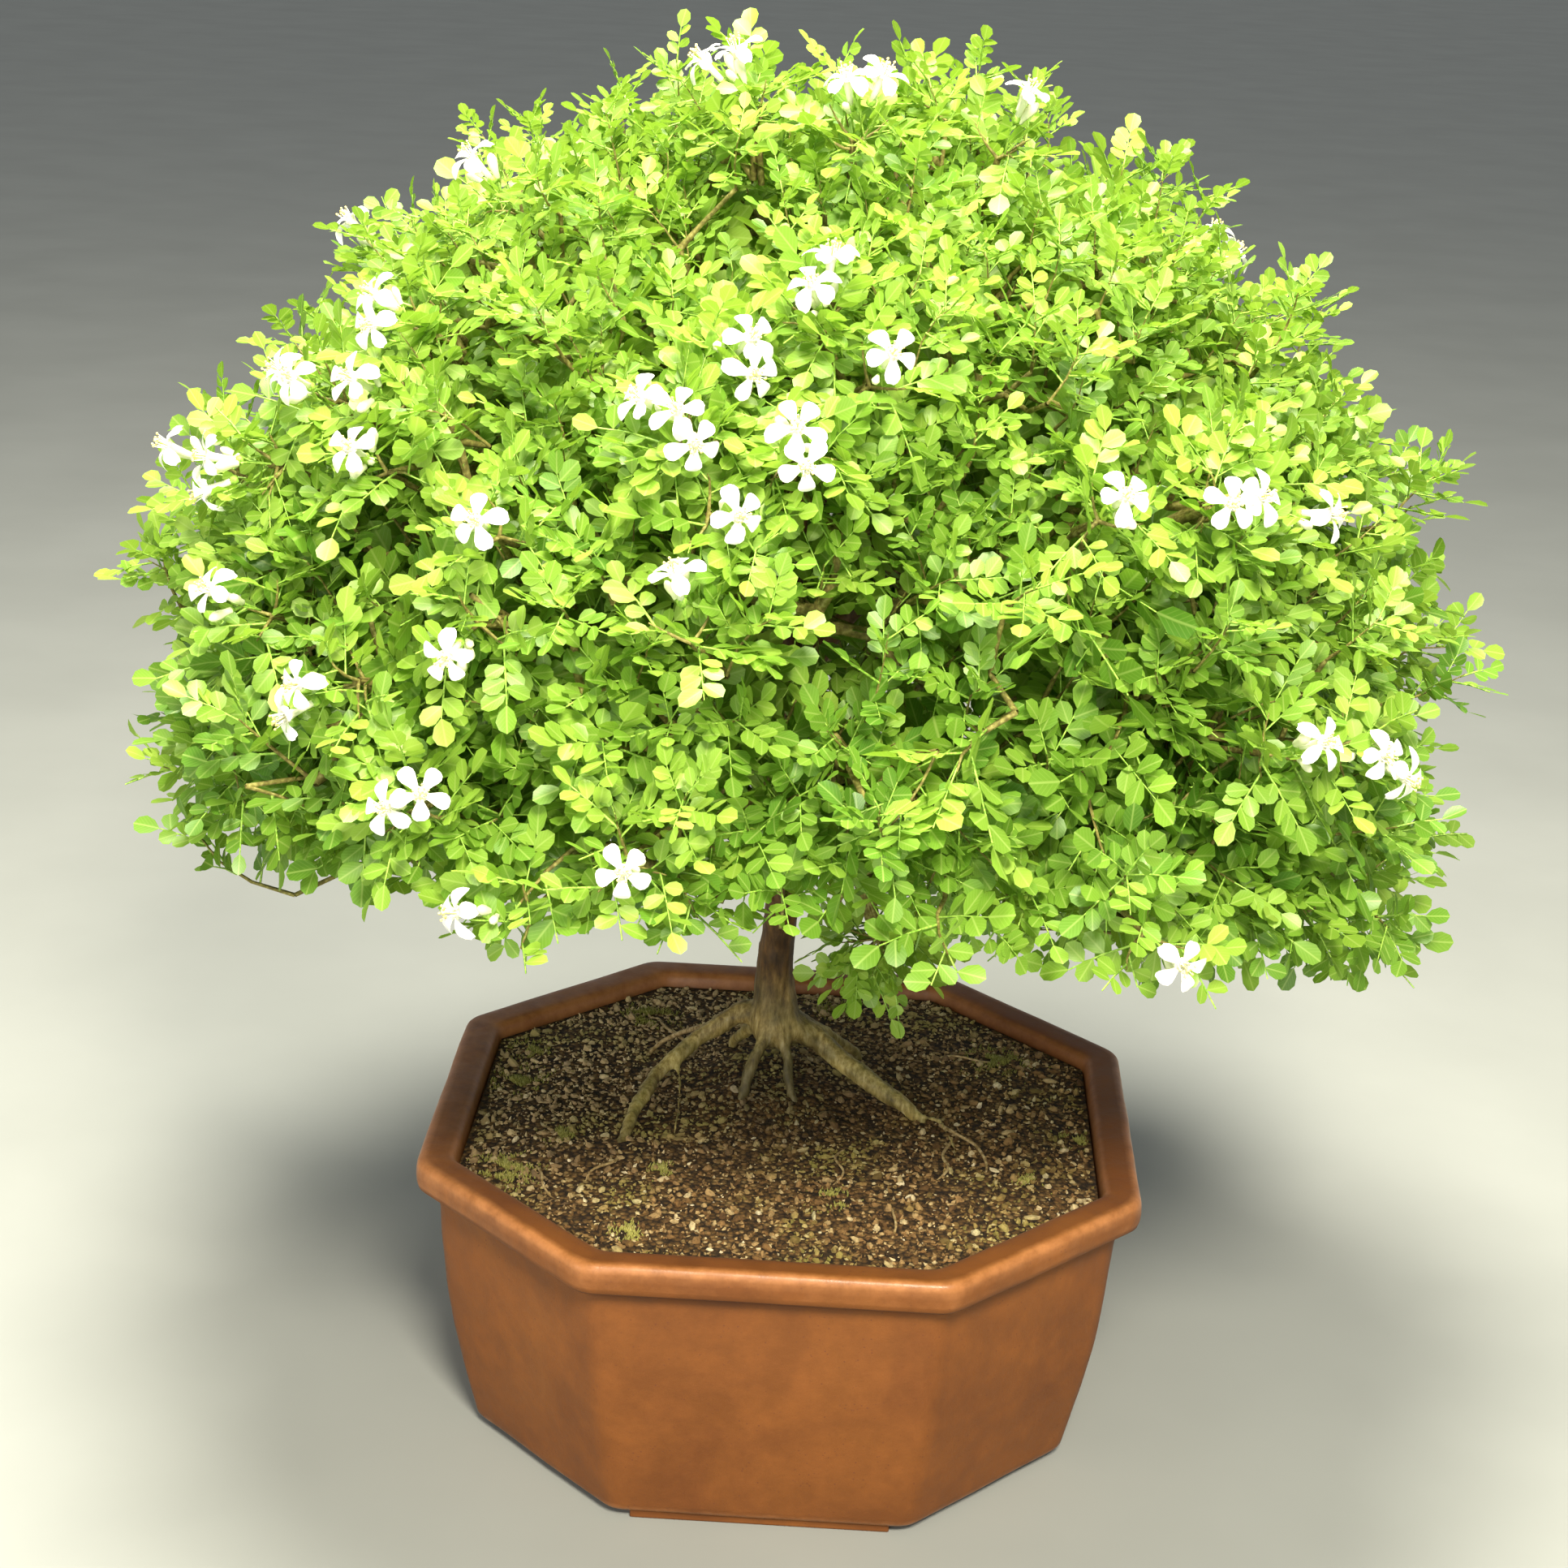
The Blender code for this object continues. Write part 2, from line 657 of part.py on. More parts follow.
def leaf_shape(place, along, face, scale, root, draw):
    """Points and triangles of one open leaf: a rib from its root, and five leaflets on it.

    The rib arches, so that its ends lie deeper than its middle, and each leaflet is a kite.
    """
    side = along.cross(face).normalized()
    face = side.cross(along).normalized()

    def rib(s):
        bow = (s - 0.55) * 2
        return place + (along * (s - 0.55) * RIB_LENGTH - face * (9 * MM * bow * bow)) * scale

    points, triangles = [], []

    def add(point):
        points.append(point)
        return len(points) - 1

    stations = [root, rib(0.12), rib(0.24), rib(0.60), rib(0.72), rib(1.0)]
    strip = [(add(p - side * RIB_HALF), add(p + side * RIB_HALF)) for p in stations]
    for (a, b), (c, d) in zip(strip, strip[1:]):
        triangles += [(a, b, d), (a, d, c)]

    def leaflet(first, last, way, size):
        start = (points[first] + points[last]) / 2
        across = face.cross(way).normalized()
        if (points[first] - points[last]).dot(across) > 0:
            across = -across
        middle = start + way * size * 0.58 + face * 0.05 * size
        near = add(middle - across * size * LEAFLET_HALF)
        far = add(middle + across * size * LEAFLET_HALF)
        tip = add(start + way * size - face * 0.14 * size)
        triangles.extend([(first, near, last), (last, near, far), (far, near, tip)])

    for low, high in ((1, 2), (3, 4)):
        for sign, edge in ((-1, 0), (1, 1)):
            lean = math.radians(draw.uniform(20, 38))
            way = side * sign * math.cos(lean) + along * math.sin(lean)
            size = draw.uniform(0.88, 1.02) * LEAFLET_LENGTH * scale
            leaflet(strip[low][edge], strip[high][edge], way.normalized(), size)
    leaflet(strip[5][0], strip[5][1], along, 1.05 * LEAFLET_LENGTH * scale)
    return points, triangles


def leaf_bmesh(points, triangles):
    bm = bmesh.new()
    corners = [bm.verts.new(point) for point in points]
    for triangle in triangles:
        bm.faces.new([corners[i] for i in triangle])
    bmesh.ops.recalc_face_normals(bm, faces=bm.faces)
    return bm


def clearance_tree(points, triangles):
    """The leaf as thick as the room that it needs, for tests against what is there already."""
    bm = leaf_bmesh(points, triangles)
    bm.normal_update()
    for vertex in bm.verts:
        vertex.co += vertex.normal * LEAF_CLEARANCE
    bmesh.ops.solidify(bm, geom=bm.faces[:], thickness=2 * LEAF_CLEARANCE)
    tree = BVHTree.FromBMesh(bm)
    bm.free()
    return tree


# Tips of the shoots that stand out of the crown, in millimetres.
SHOOT_TIPS = [
    (-33, -20, 606), (35, 10, 596), (126, 5, 566), (199, 5, 510), (287, 15, 362),
    (-296, 5, 374), (-288, -20, 288), (64, 200, 545), (-150, 180, 500),
]


def leaf_targets(branches):
    """Where the leaves go: shoots that stand out of the crown first, then an even cover."""
    targets = [(Vector(tip) * MM, "shoot") for tip in SHOOT_TIPS]
    draw = random.Random(17)
    for _ in range(9000):
        azimuth, rise = draw.uniform(0, math.tau), math.asin(draw.uniform(-1, 1))
        direction = facing(azimuth, rise)
        point = CROWN + direction * crown_reach(direction)
        flat = math.hypot(point.x - CROWN.x, point.y - CROWN.y)
        if flat < 185 * MM and direction.z < 0:
            continue
        if all((point - other).length > LEAF_SPACING for other, _ in targets):
            targets.append((point, "cover"))
    sprig = next(b for b in branches if b.name == "leafy_sprig")
    for i in range(6):
        out = facing(math.radians(60 * i + 15), -0.45)
        targets.append((sprig.middle + out * 20 * MM, "sprig"))
    return targets


def leaf_pose(kind, target, branch, draw):
    """The leaf's place, the way that its rib runs and the way that its face looks."""
    out = (target - CROWN).normalized()
    if kind == "sprig":
        out = (target - branch.middle).normalized()
    flat = out.orthogonal().normalized()
    flat.rotate(Matrix.Rotation(draw.uniform(0, math.tau), 3, out))
    if kind == "shoot":
        along = (out + flat * 0.35).normalized()
        face = (Vector((0, -1, 0.5)) + flat * 0.4).normalized()
        return target - along * (0.45 * RIB_LENGTH + LEAFLET_LENGTH) * 0.7, along, face, 0.7
    if kind == "sprig":
        along = (out + Vector((0, 0, -0.5)) + flat * 0.2).normalized()
        return target, along, (facing(0, 0.6) + flat * 0.3).normalized(), 0.45
    tilt = math.radians(draw.uniform(-12, 22))
    along = flat * math.cos(tilt) + out * math.sin(tilt)
    face = (out + Vector([draw.uniform(-0.3, 0.3) for _ in range(3)])).normalized()
    return target - out * draw.uniform(3, 22) * MM, along, face, 1.0


def grow_leaves(branches, kept_clear):
    """Grows leaves one at a time, turning each until it is clear of all that is there."""
    draw = random.Random(29)
    trees = list(kept_clear)
    for target, kind in leaf_targets(branches):
        branch = min(branches, key=lambda b: (b.middle - target).length)
        others = [b.core_tree for b in branches if b is not branch]
        margin = 14 * MM if kind == "shoot" else 7 * MM
        for attempt in range(LEAF_TRIES):
            place, along, face, scale = leaf_pose(kind, target, branch, draw)
            scale *= 1 - 0.5 * attempt / LEAF_TRIES
            start = place - along * 0.55 * RIB_LENGTH * scale
            surface, inward = core_surface(branch, start)
            root = surface + inward * 7 * MM
            points, triangles = leaf_shape(place, along, face, scale, root, draw)
            if kind != "sprig" and not all(in_crown(p, -margin) for p in points):
                continue
            tree = clearance_tree(points, triangles)
            if not any(tree.overlap(other) for other in trees + others):
                break
        else:
            continue
        leaf = from_bmesh("leaf", leaf_bmesh(points, triangles), parts)
        thick = leaf.modifiers.new("thickness", "SOLIDIFY")
        thick.thickness = LEAF_THICKNESS
        thick.offset = 0
        applied(leaf)
        branch.pieces.append(leaf)
        trees.append(BVHTree.FromPolygons(points, triangles))


def make_crown():
    branches = crown_branches()
    draw = random.Random(31)
    for branch in branches:
        make_core(branch, branches, draw)
    wood = make_wood(branches)
    kept_clear = make_blooms(branches)
    grow_leaves(branches, [*kept_clear, tree_of(wood)])
    green = material("Leaf", (0.16, 0.36, 0.03), 0.5)
    for branch in branches:
        fuse(branch.core, branch.pieces)
        keep_main_shell(branch.core)
        branch.core.data.materials.append(green)


clear_scene()
parts = bpy.data.collections.new("Orange jasmine bonsai")
bpy.context.scene.collection.children.link(parts)
make_pot()
make_drain_meshes()
make_soil()
make_crown()
for piece in parts.objects:
    piece.matrix_world = Matrix.Translation((0, 0, FOOT_HEIGHT)) @ piece.matrix_world
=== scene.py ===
"""Orange jasmine bonsai in an eight-sided terracotta pot: how it looks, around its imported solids.

Metres, +Z up, the front towards -Y, the pot's feet on the floor at z = 0.
"""

import math
import random
from dataclasses import dataclass

import bmesh
import bpy
import numpy as np
from mathutils import Matrix, Vector
from mathutils.bvhtree import BVHTree
from mathutils.kdtree import KDTree
from mathutils.noise import fractal, noise


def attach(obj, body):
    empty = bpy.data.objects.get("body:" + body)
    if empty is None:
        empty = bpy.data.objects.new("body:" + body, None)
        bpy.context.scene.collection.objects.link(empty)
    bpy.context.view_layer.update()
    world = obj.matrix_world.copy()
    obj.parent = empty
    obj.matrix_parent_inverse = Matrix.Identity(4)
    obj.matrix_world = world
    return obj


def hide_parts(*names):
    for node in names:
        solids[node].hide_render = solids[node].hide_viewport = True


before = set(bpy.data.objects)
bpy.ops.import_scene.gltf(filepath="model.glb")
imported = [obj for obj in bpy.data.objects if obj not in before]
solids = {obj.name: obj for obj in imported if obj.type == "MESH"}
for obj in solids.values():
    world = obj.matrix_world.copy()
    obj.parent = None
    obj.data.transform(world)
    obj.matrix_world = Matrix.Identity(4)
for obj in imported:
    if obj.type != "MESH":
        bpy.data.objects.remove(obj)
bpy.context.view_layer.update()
MM = 0.001


# The stand and the light: a grey painted studio floor, matt and seamless, two soft lamps above the
# front and overhead, and two faint ones to fill. The camera looks down from the photograph's place.

def linear(code):
    """An sRGB hex colour as linear red, green, blue and alpha."""
    shares = [int(code[i:i + 2], 16) / 255 for i in (1, 3, 5)]
    even = [s / 12.92 if s <= 0.04045 else ((s + 0.055) / 1.055) ** 2.4 for s in shares]
    return (*even, 1)


def new_material(name):
    """An empty material, and the place on the piece that its nodes start from."""
    made = bpy.data.materials.new(name)
    made.use_nodes = True
    made.node_tree.nodes.clear()
    return made, add(made, "TexCoord").outputs["Object"]


def add(finish, kind, settings=None):
    """Adds a node to a material. A value that comes from another node is linked."""
    node = finish.node_tree.nodes.new("ShaderNode" + kind)
    for name, value in (settings or {}).items():
        if isinstance(value, bpy.types.NodeSocket):
            finish.node_tree.links.new(value, node.inputs[name])
        elif isinstance(name, int) or name in node.inputs:
            node.inputs[name].default_value = value
        else:
            setattr(node, name, value)
    return node


def mottled(finish, place, scale, detail, roughness=0.5):
    """Noise through a material."""
    settings = {"Vector": place, "Scale": scale, "Detail": detail, "Roughness": roughness}
    return add(finish, "TexNoise", settings).outputs["Fac"]


def ramp(finish, share, *stops):
    """The colour for a share, from stops of (share, colour)."""
    node = add(finish, "ValToRGB", {"Fac": share})
    while len(node.color_ramp.elements) < len(stops):
        node.color_ramp.elements.new(0.5)
    for element, (place, code) in zip(node.color_ramp.elements, stops):
        element.position = place
        element.color = linear(code)
    return node.outputs["Color"]


def finished(finish, colour, roughness, refraction, normal=None, lit_through=None,
             specular=0.5):
    """Ends a material in its surface, and in a share and colour of light that passes through."""
    settings = {"Base Color": colour, "Roughness": roughness, "IOR": refraction,
                "Specular IOR Level": specular}
    if normal:
        settings["Normal"] = normal
    surface = add(finish, "BsdfPrincipled", settings).outputs[0]
    if lit_through:
        share, tint = lit_through
        thin = add(finish, "BsdfTranslucent", {"Color": tint}).outputs[0]
        surface = add(finish, "MixShader", {0: share, 1: surface, 2: thin}).outputs[0]
    add(finish, "OutputMaterial", {"Surface": surface})


# Matt emulsion paint: soft, with no gloss, and a faint unevenness from the roller.
paint, place = new_material("Matt floor paint")
shade = ramp(paint, mottled(paint, place, 6, 4), (0.3, "#8A8D88"), (0.7, "#90938E"))
finished(paint, shade, 0.85, 1.45)

bpy.ops.mesh.primitive_plane_add(size=40, location=(0, 0, 0))
floor = bpy.context.object
floor.name = "floor"
floor.data.materials.append(paint)

world = bpy.data.worlds.new("studio")
world.use_nodes = True
sky = world.node_tree.nodes["Background"].inputs
sky["Color"].default_value = linear("#EEF1F4")
sky["Strength"].default_value = 0.5
bpy.context.scene.world = world
bpy.context.scene.view_settings.view_transform = "Standard"


def shown(name, data):
    """An object with a mesh, a lamp or a camera, in the scene."""
    piece = bpy.data.objects.new(name, data)
    bpy.context.scene.collection.objects.link(piece)
    return piece


for name, spot, aim_height, size, watts, tint in (
    ("key_lamp", (0.28, -1.5, 1.55), 0.35, 0.45, 80, "#FFF6E4"),
    ("top_lamp", (-0.1, -0.15, 1.9), 0.35, 0.7, 84, "#FFF9EA"),
    ("front_fill", (-0.3, -1.9, 0.6), 0.35, 1.0, 14, "#FFFAF2"),
    ("left_fill", (-1.4, -1.0, 0.36), 0.12, 0.7, 6, "#FFFAF2"),
):
    lamp = bpy.data.lights.new(name, "AREA")
    lamp.shape = "DISK"
    lamp.size = size
    lamp.energy = watts
    lamp.color = linear(tint)[:3]
    stand = shown(name, lamp)
    stand.location = spot
    aim = Vector((0, 0, aim_height)) - Vector(spot)
    stand.rotation_euler = aim.to_track_quat("-Z", "Y").to_euler()

# In degrees: how far the camera is turned to the left, looks down and is rolled.
CAMERA_TURN, CAMERA_DOWN, CAMERA_ROLL = 1.9, 19.6, -2.3
lens = bpy.data.cameras.new("camera")
lens.sensor_width = 36
lens.lens = 63.35
camera = shown("camera", lens)
pose = Matrix.Translation((0.031, -1.1216, 0.687))
for degrees, axis in ((CAMERA_TURN, "Z"), (90 - CAMERA_DOWN, "X"), (-CAMERA_ROLL, "Z")):
    pose = pose @ Matrix.Rotation(math.radians(degrees), 4, axis)
camera.matrix_world = pose
bpy.context.scene.camera = camera


# The pot: terracotta pressed in a mould, then fired without glaze. Its corners are rounded, the
# rolled lip stands out over the wall, and four low strips under the main sides are its feet.

FEET = 4 * MM
FLAT_SHARE = 75 / 155
WALL_TOP = 116 * MM
POT_WALL = 9 * MM


def cast_piece(name, shape):
    """An object of a bmesh, which is then let go."""
    mesh = bpy.data.meshes.new(name)
    shape.to_mesh(mesh)
    shape.free()
    return shown(name, mesh)


def clamped(share):
    """A share kept from 0 to 1."""
    return min(1, max(0, share))


def wall_half(z):
    """Half width of the wall across its flats, at a height above the wall's lower edge."""
    rise = z / WALL_TOP
    return 130 * MM + 16 * MM * rise + 3 * MM * math.sin(math.pi * rise)


def pot_ring(half, z, corner_radius):
    """Points round the pot's eight sides, five on each rounded corner and six on each side."""
    flat = half * FLAT_SHARE
    sharp = [(half, -flat), (half, flat), (flat, half), (-flat, half)]
    sharp += [(-x, -y) for x, y in sharp]
    sharp = [Vector(corner) for corner in sharp]
    cut = corner_radius * math.tan(math.radians(22.5))
    starts, ends = [], []
    for i, corner in enumerate(sharp):
        starts.append(corner + (sharp[i - 1] - corner).normalized() * cut)
        ends.append(corner + (sharp[(i + 1) % 8] - corner).normalized() * cut)
    points = []
    for i, corner in enumerate(sharp):
        for k in range(5):
            t = k / 4
            bent = starts[i] * (1 - t) ** 2 + corner * 2 * t * (1 - t) + ends[i] * t ** 2
            points.append((Vector((*bent, z + FEET)), 1 - abs(k - 2) / 3))
        for k in range(1, 7):
            plain = ends[i].lerp(starts[(i + 1) % 8], k / 7)
            points.append((Vector((*plain, z + FEET)), 0))
    return points


# Each level of the profile: half width, height, the corner's radius, and how far it is worn, which
# on the lip's top outer edge is also a painted highlight, or below 0 how dark the painted shade under
# the lip is.
profile = [(121 * MM, 0, 12, 0), (127.6 * MM, 0, 12, 0.5), (129.2 * MM, 0.6 * MM, 13, 1)]
profile += [(wall_half(z * MM), z * MM, 13, 0.5 if z < 4 else 0) for z in (2.4, 5)]
profile += [(wall_half(z * MM), z * MM, 13, 0) for z in range(10, 110, 6)]
profile += [
    (half * MM, z * MM, corner, wear_and_painted_light) for half, z, corner, wear_and_painted_light in (
        (146.0, 110.5, 13, 0), (146.1, 112.8, 13, -0.5), (146.2, 115.2, 13, -1),
        (146.9, 116.0, 13, -1), (150.8, 116.3, 14, -1), (153.0, 116.9, 14, -0.7),
        (154.3, 118.2, 15, 0), (154.9, 120.6, 15, 0.3), (155.1, 123.8, 15, 0.25),
        (155.0, 127.0, 15, 0.5), (154.7, 128.8, 15, 0.95), (154.1, 129.9, 15, 1),
        (153.2, 130.7, 14, 1), (152.0, 131.05, 14, 0.6), (150, 131.1, 14, 0.15),
        (145.5, 131.0, 13, 0.05), (142.5, 130.7, 12, 0.15), (140.6, 129.9, 12, 0.5),
        (139.4, 128.4, 11, 0.5), (138.8, 126, 11, 0.4), (138.1, 122, 10, 0), (137.1, 117, 10, 0),
    )
]
profile += [(wall_half(z * MM) - POT_WALL, z * MM, 9, 0) for z in (100, 80, 60, 40, 22, 14)]
profile += [(wall_half(12 * MM) - POT_WALL - 2 * MM, 11.3 * MM, 9, 0), (110 * MM, 11 * MM, 9, 0)]

# Hand finishing leaves the walls a little uneven, by up to half a millimetre. The lip's top is
# painted paler at its left and back, a painted light where the crown shades it.
cast = bmesh.new()
wear_and_light_layer = cast.verts.layers.float.new("wear_and_painted_light")
loops = []
for half, z, corner, wear_and_painted_light in profile:
    loop = []
    for point, bend in pot_ring(half, z, corner * MM):
        uneven = fractal(point * 22, 0.8, 2.0, 3) * 0.5 * MM
        vertex = cast.verts.new(point + Vector((point.x, point.y, 0)).normalized() * uneven)
        # Painted light: the lip's top gets paler towards its left and back.
        painted_light_left_back = clamped(0.1 + (point.y - point.x) / 0.24) if z > 120 * MM else 0
        vertex[wear_and_light_layer] = min(1, wear_and_painted_light + 0.12 * bend + 0.6 * painted_light_left_back)
        loop.append(vertex)
    loops.append(loop)
for lower, upper in zip(loops, loops[1:]):
    for i in range(len(lower)):
        j = (i + 1) % len(lower)
        cast.faces.new((lower[i], lower[j], upper[j], upper[i]))
cast.faces.new(loops[0][::-1])
cast.faces.new(loops[-1])
pot = cast_piece("terracotta_pot", cast)

FOOT_SIZE = Vector((110, 14, 6)) * MM
FOOT_PLACE = Vector((0, -121, 3)) * MM
DRAIN_SIDE = 45 * MM
DRAIN_RADIUS = 9 * MM
tools = []
for quarter in range(4):
    strip = bmesh.new()
    bmesh.ops.create_cube(strip, size=1, matrix=Matrix.Diagonal((*FOOT_SIZE, 1)))
    bmesh.ops.bevel(
        strip, geom=strip.edges[:], offset=1.2 * MM, segments=3, affect="EDGES", profile=0.6,
    )
    spin = Matrix.Rotation(quarter * math.pi / 2, 4, "Z")
    bmesh.ops.transform(strip, matrix=spin @ Matrix.Translation(FOOT_PLACE), verts=strip.verts)
    foot_wear_and_light = strip.verts.layers.float.new("wear_and_painted_light")
    for vertex in strip.verts:
        vertex[foot_wear_and_light] = 0.9
    tools.append((cast_piece("foot", strip), "UNION"))
for x in (-DRAIN_SIDE, DRAIN_SIDE):
    drill = bmesh.new()
    bmesh.ops.create_cone(
        drill, cap_ends=True, segments=36, radius1=DRAIN_RADIUS, radius2=DRAIN_RADIUS,
        depth=40 * MM, matrix=Matrix.Translation((x, 0, 5 * MM)),
    )
    tools.append((cast_piece("drill", drill), "DIFFERENCE"))


def applied(piece):
    """Gives the piece the mesh that its modifiers make, and takes them off."""
    bpy.context.view_layer.update()
    graph = bpy.context.evaluated_depsgraph_get()
    shaped = bpy.data.meshes.new_from_object(piece.evaluated_get(graph))
    piece.modifiers.clear()
    piece.data = shaped


for tool, operation in tools:
    joint = pot.modifiers.new("joint", "BOOLEAN")
    joint.object = tool
    joint.operation = operation
    joint.solver = "EXACT"
applied(pot)
for tool, _ in tools:
    bpy.data.objects.remove(tool, do_unlink=True)
for polygon in pot.data.polygons:
    polygon.use_smooth = abs(polygon.normal.z) < 0.999 or polygon.center.z > 0.1


def tinted(finish, share, colour, other, blend_type="MIX"):
    """A colour that gives way to another by a share."""
    other = linear(other) if isinstance(other, str) else other
    settings = {"data_type": "RGBA", "blend_type": blend_type, 0: share, 6: colour, 7: other}
    return add(finish, "Mix", settings).outputs[2]


def rescaled(finish, share, low, high, to_low, to_high):
    """A share from low to high as one from to_low to to_high, and no further."""
    span = {"From Min": low, "From Max": high, "To Min": to_low, "To Max": to_high}
    return add(finish, "MapRange", {"Value": share, **span}).outputs["Result"]


def reckon(finish, operation, *terms, **settings):
    """A sum on shares."""
    sum_of = {"operation": operation, **dict(enumerate(terms)), **settings}
    return add(finish, "Math", sum_of).outputs[0]


def stored(finish, name):
    """A number that the piece's mesh holds at each point."""
    return add(finish, "Attribute", {"attribute_name": name}).outputs["Fac"]


def bumpy(finish, height, strength, depth):
    """The way that the surface faces with relief, its depth in millimetres."""
    relief = {"Height": height, "Strength": strength, "Distance": depth * MM}
    return add(finish, "Bump", relief).outputs["Normal"]


# Unglazed terracotta: matt and a little dusty, mottled by the kiln, with a few dark grog specks
# under 1 mm wide, paler where handling has rubbed its edges, with a painted highlight along the
# lip's top outer edge, painted light on the lip's left and back, and painted shade under the lip.
clay, place = new_material("Unglazed terracotta")
mottle = add(clay, "TexNoise", {
    "Scale": 16, "Detail": 6, "Roughness": 0.62, "Distortion": 0.6, "Vector": place,
}).outputs["Fac"]
fired = ramp(clay, mottle, (0.30, "#683A14"), (0.46, "#714117"), (0.60, "#784619"),
             (0.78, "#7E4C1D"))
clouds = mottled(clay, place, 55, 5, 0.7)
olive = tinted(clay, 0.22, fired, ramp(clay, clouds, (0.40, "#4A4A4A"), (0.68, "#C0C0C0")),
               "OVERLAY")
grog = add(clay, "TexVoronoi", {"Scale": 430, "Vector": place}).outputs["Distance"]
dark_specks = ramp(clay, grog, (0.10, "#FFFFFF"), (0.2, "#000000"))
few = ramp(clay, mottled(clay, place, 150, 1), (0.50, "#000000"), (0.62, "#FFFFFF"))
specked = tinted(clay, reckon(clay, "MULTIPLY", dark_specks, few), olive, "#5E3419")
stored_wear_and_light = stored(clay, "wear_and_painted_light")
patchy_wear_and_highlight = reckon(clay, "MULTIPLY", stored_wear_and_light, mottled(clay, place, 90, 4, 0.7))
# The stored share makes rubbed edges paler, and it also paints the highlight on the lip's top outer edge
# and the painted light on the lip's left and back.
worn_and_highlit_edge = tinted(clay, rescaled(clay, patchy_wear_and_highlight, 0.12, 0.62, 0, 0.62), specked, "#BC7F4C")
# Painted shade: where the stored share is below 0, under the lip, the clay turns a deep dark brown.
painted_shade_under_lip = tinted(clay, rescaled(clay, stored_wear_and_light, -1, 0, 0.95, 0), worn_and_highlit_edge, "#2E1203")
dents = mottled(clay, place, 210, 3, 0.55)
surface = reckon(clay, "MULTIPLY_ADD", mottled(clay, place, 1300, 3, 0.6), 0.5, dents)
dusty = rescaled(clay, clouds, 0.3, 0.7, 0.52, 0.72)
polish = reckon(clay, "MULTIPLY_ADD", stored_wear_and_light, -0.22, dusty, use_clamp=True)
finished(clay, painted_shade_under_lip, polish, 1.5, bumpy(clay, surface, 0.35, 0.4), specular=0.32)


def dress(piece, finish):
    """Gives a piece one material."""
    piece.data.materials.clear()
    piece.data.materials.append(finish)


dress(pot, clay)
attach(pot, "root")
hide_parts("pot")


# The drain meshes: squares of moulded black polyethylene over the holes, under the soil.

def grained(title, scale, detail, stops, roughness, refraction, strength=0, depth=0):
    """A material of one fine grain, which is its colour and its relief."""
    finish, place = new_material(title)
    grain = mottled(finish, place, scale, detail)
    normal = bumpy(finish, grain, strength, depth) if strength else None
    finished(finish, ramp(finish, grain, *stops), roughness, refraction, normal)
    return finish


# Polyethylene: dark and slightly waxy, with the fine grain of its mould.
plastic = grained("Moulded black polyethylene", 900, 3, ((0.35, "#16171A"), (0.7, "#26282C")),
                  0.42, 1.51, 0.3, 0.1)
for name in ("drain_mesh_left", "drain_mesh_right"):
    dress(solids[name], plastic)


# The potting soil: composted bark, loam and grit, watered down to a firm crumb. The solid fills
# the pot, and loose grains, most of them 1 to 5 mm across, lie on it.

# Damp loam: very rough, with painted shade dark between its crumbs, which are about 2 mm across.
loam, place = new_material("Potting loam")
crumbs = add(loam, "TexVoronoi", {"Scale": 420, "Vector": place}).outputs
crumb_tone = ramp(loam, crumbs["Color"], (0, "#382710"), (0.45, "#5F4420"), (0.75, "#7F6035"),
                  (1, "#A98C58"))
# Painted shade in the gaps between the crumbs.
gaps = ramp(loam, crumbs["Distance"], (0.25, "#FFFFFF"), (0.7, "#2E2A24"))
shaded = tinted(loam, 0.85, crumb_tone, gaps, "MULTIPLY")
heights = reckon(loam, "SUBTRACT", mottled(loam, place, 900, 4, 0.7), crumbs["Distance"])
finished(loam, shaded, 0.95, 1.4, bumpy(loam, heights, 0.9, 1.2))
soil = solids["soil"]
dress(soil, loam)


def mesh_piece(name, points, faces, materials, numbers=None, smooth=True):
    """An object from points and faces. Each entry in numbers is a value at every point."""
    mesh = bpy.data.meshes.new(name)
    mesh.from_pydata([tuple(p) for p in points], [], faces)
    for layer, values in (numbers or {}).items():
        made = mesh.attributes.new(layer, "FLOAT", "POINT")
        made.data.foreach_set("value", np.asarray(values, np.float32))
    mesh.polygons.foreach_set("use_smooth", [smooth] * len(mesh.polygons))
    for finish in materials:
        mesh.materials.append(finish)
    return shown(name, mesh)


soil.data.calc_loop_triangles()
soil_tree = BVHTree.FromPolygons(
    [vertex.co.copy() for vertex in soil.data.vertices],
    [tuple(t.vertices) for t in soil.data.loop_triangles],
)
SOIL_HALF = 137.4 * MM
LOWEST_SOIL = 121 * MM
TRUNK_FOOT = Vector((-4, 12)) * MM


def soil_spot(x, y):
    """The point of the soil under a place."""
    return soil_tree.ray_cast(Vector((x, y, 0.3)), Vector((0, 0, -1)))[0]


def open_soil(x, y):
    """The point of the soil under a place, or None if the lip is near or a root is there."""
    half = SOIL_HALF - 1.5 * MM
    if max(abs(x), abs(y)) >= half or abs(x) + abs(y) >= half * (1 + FLAT_SHARE):
        return None
    spot = soil_spot(x, y)
    return spot if spot and spot.z >= LOWEST_SOIL else None


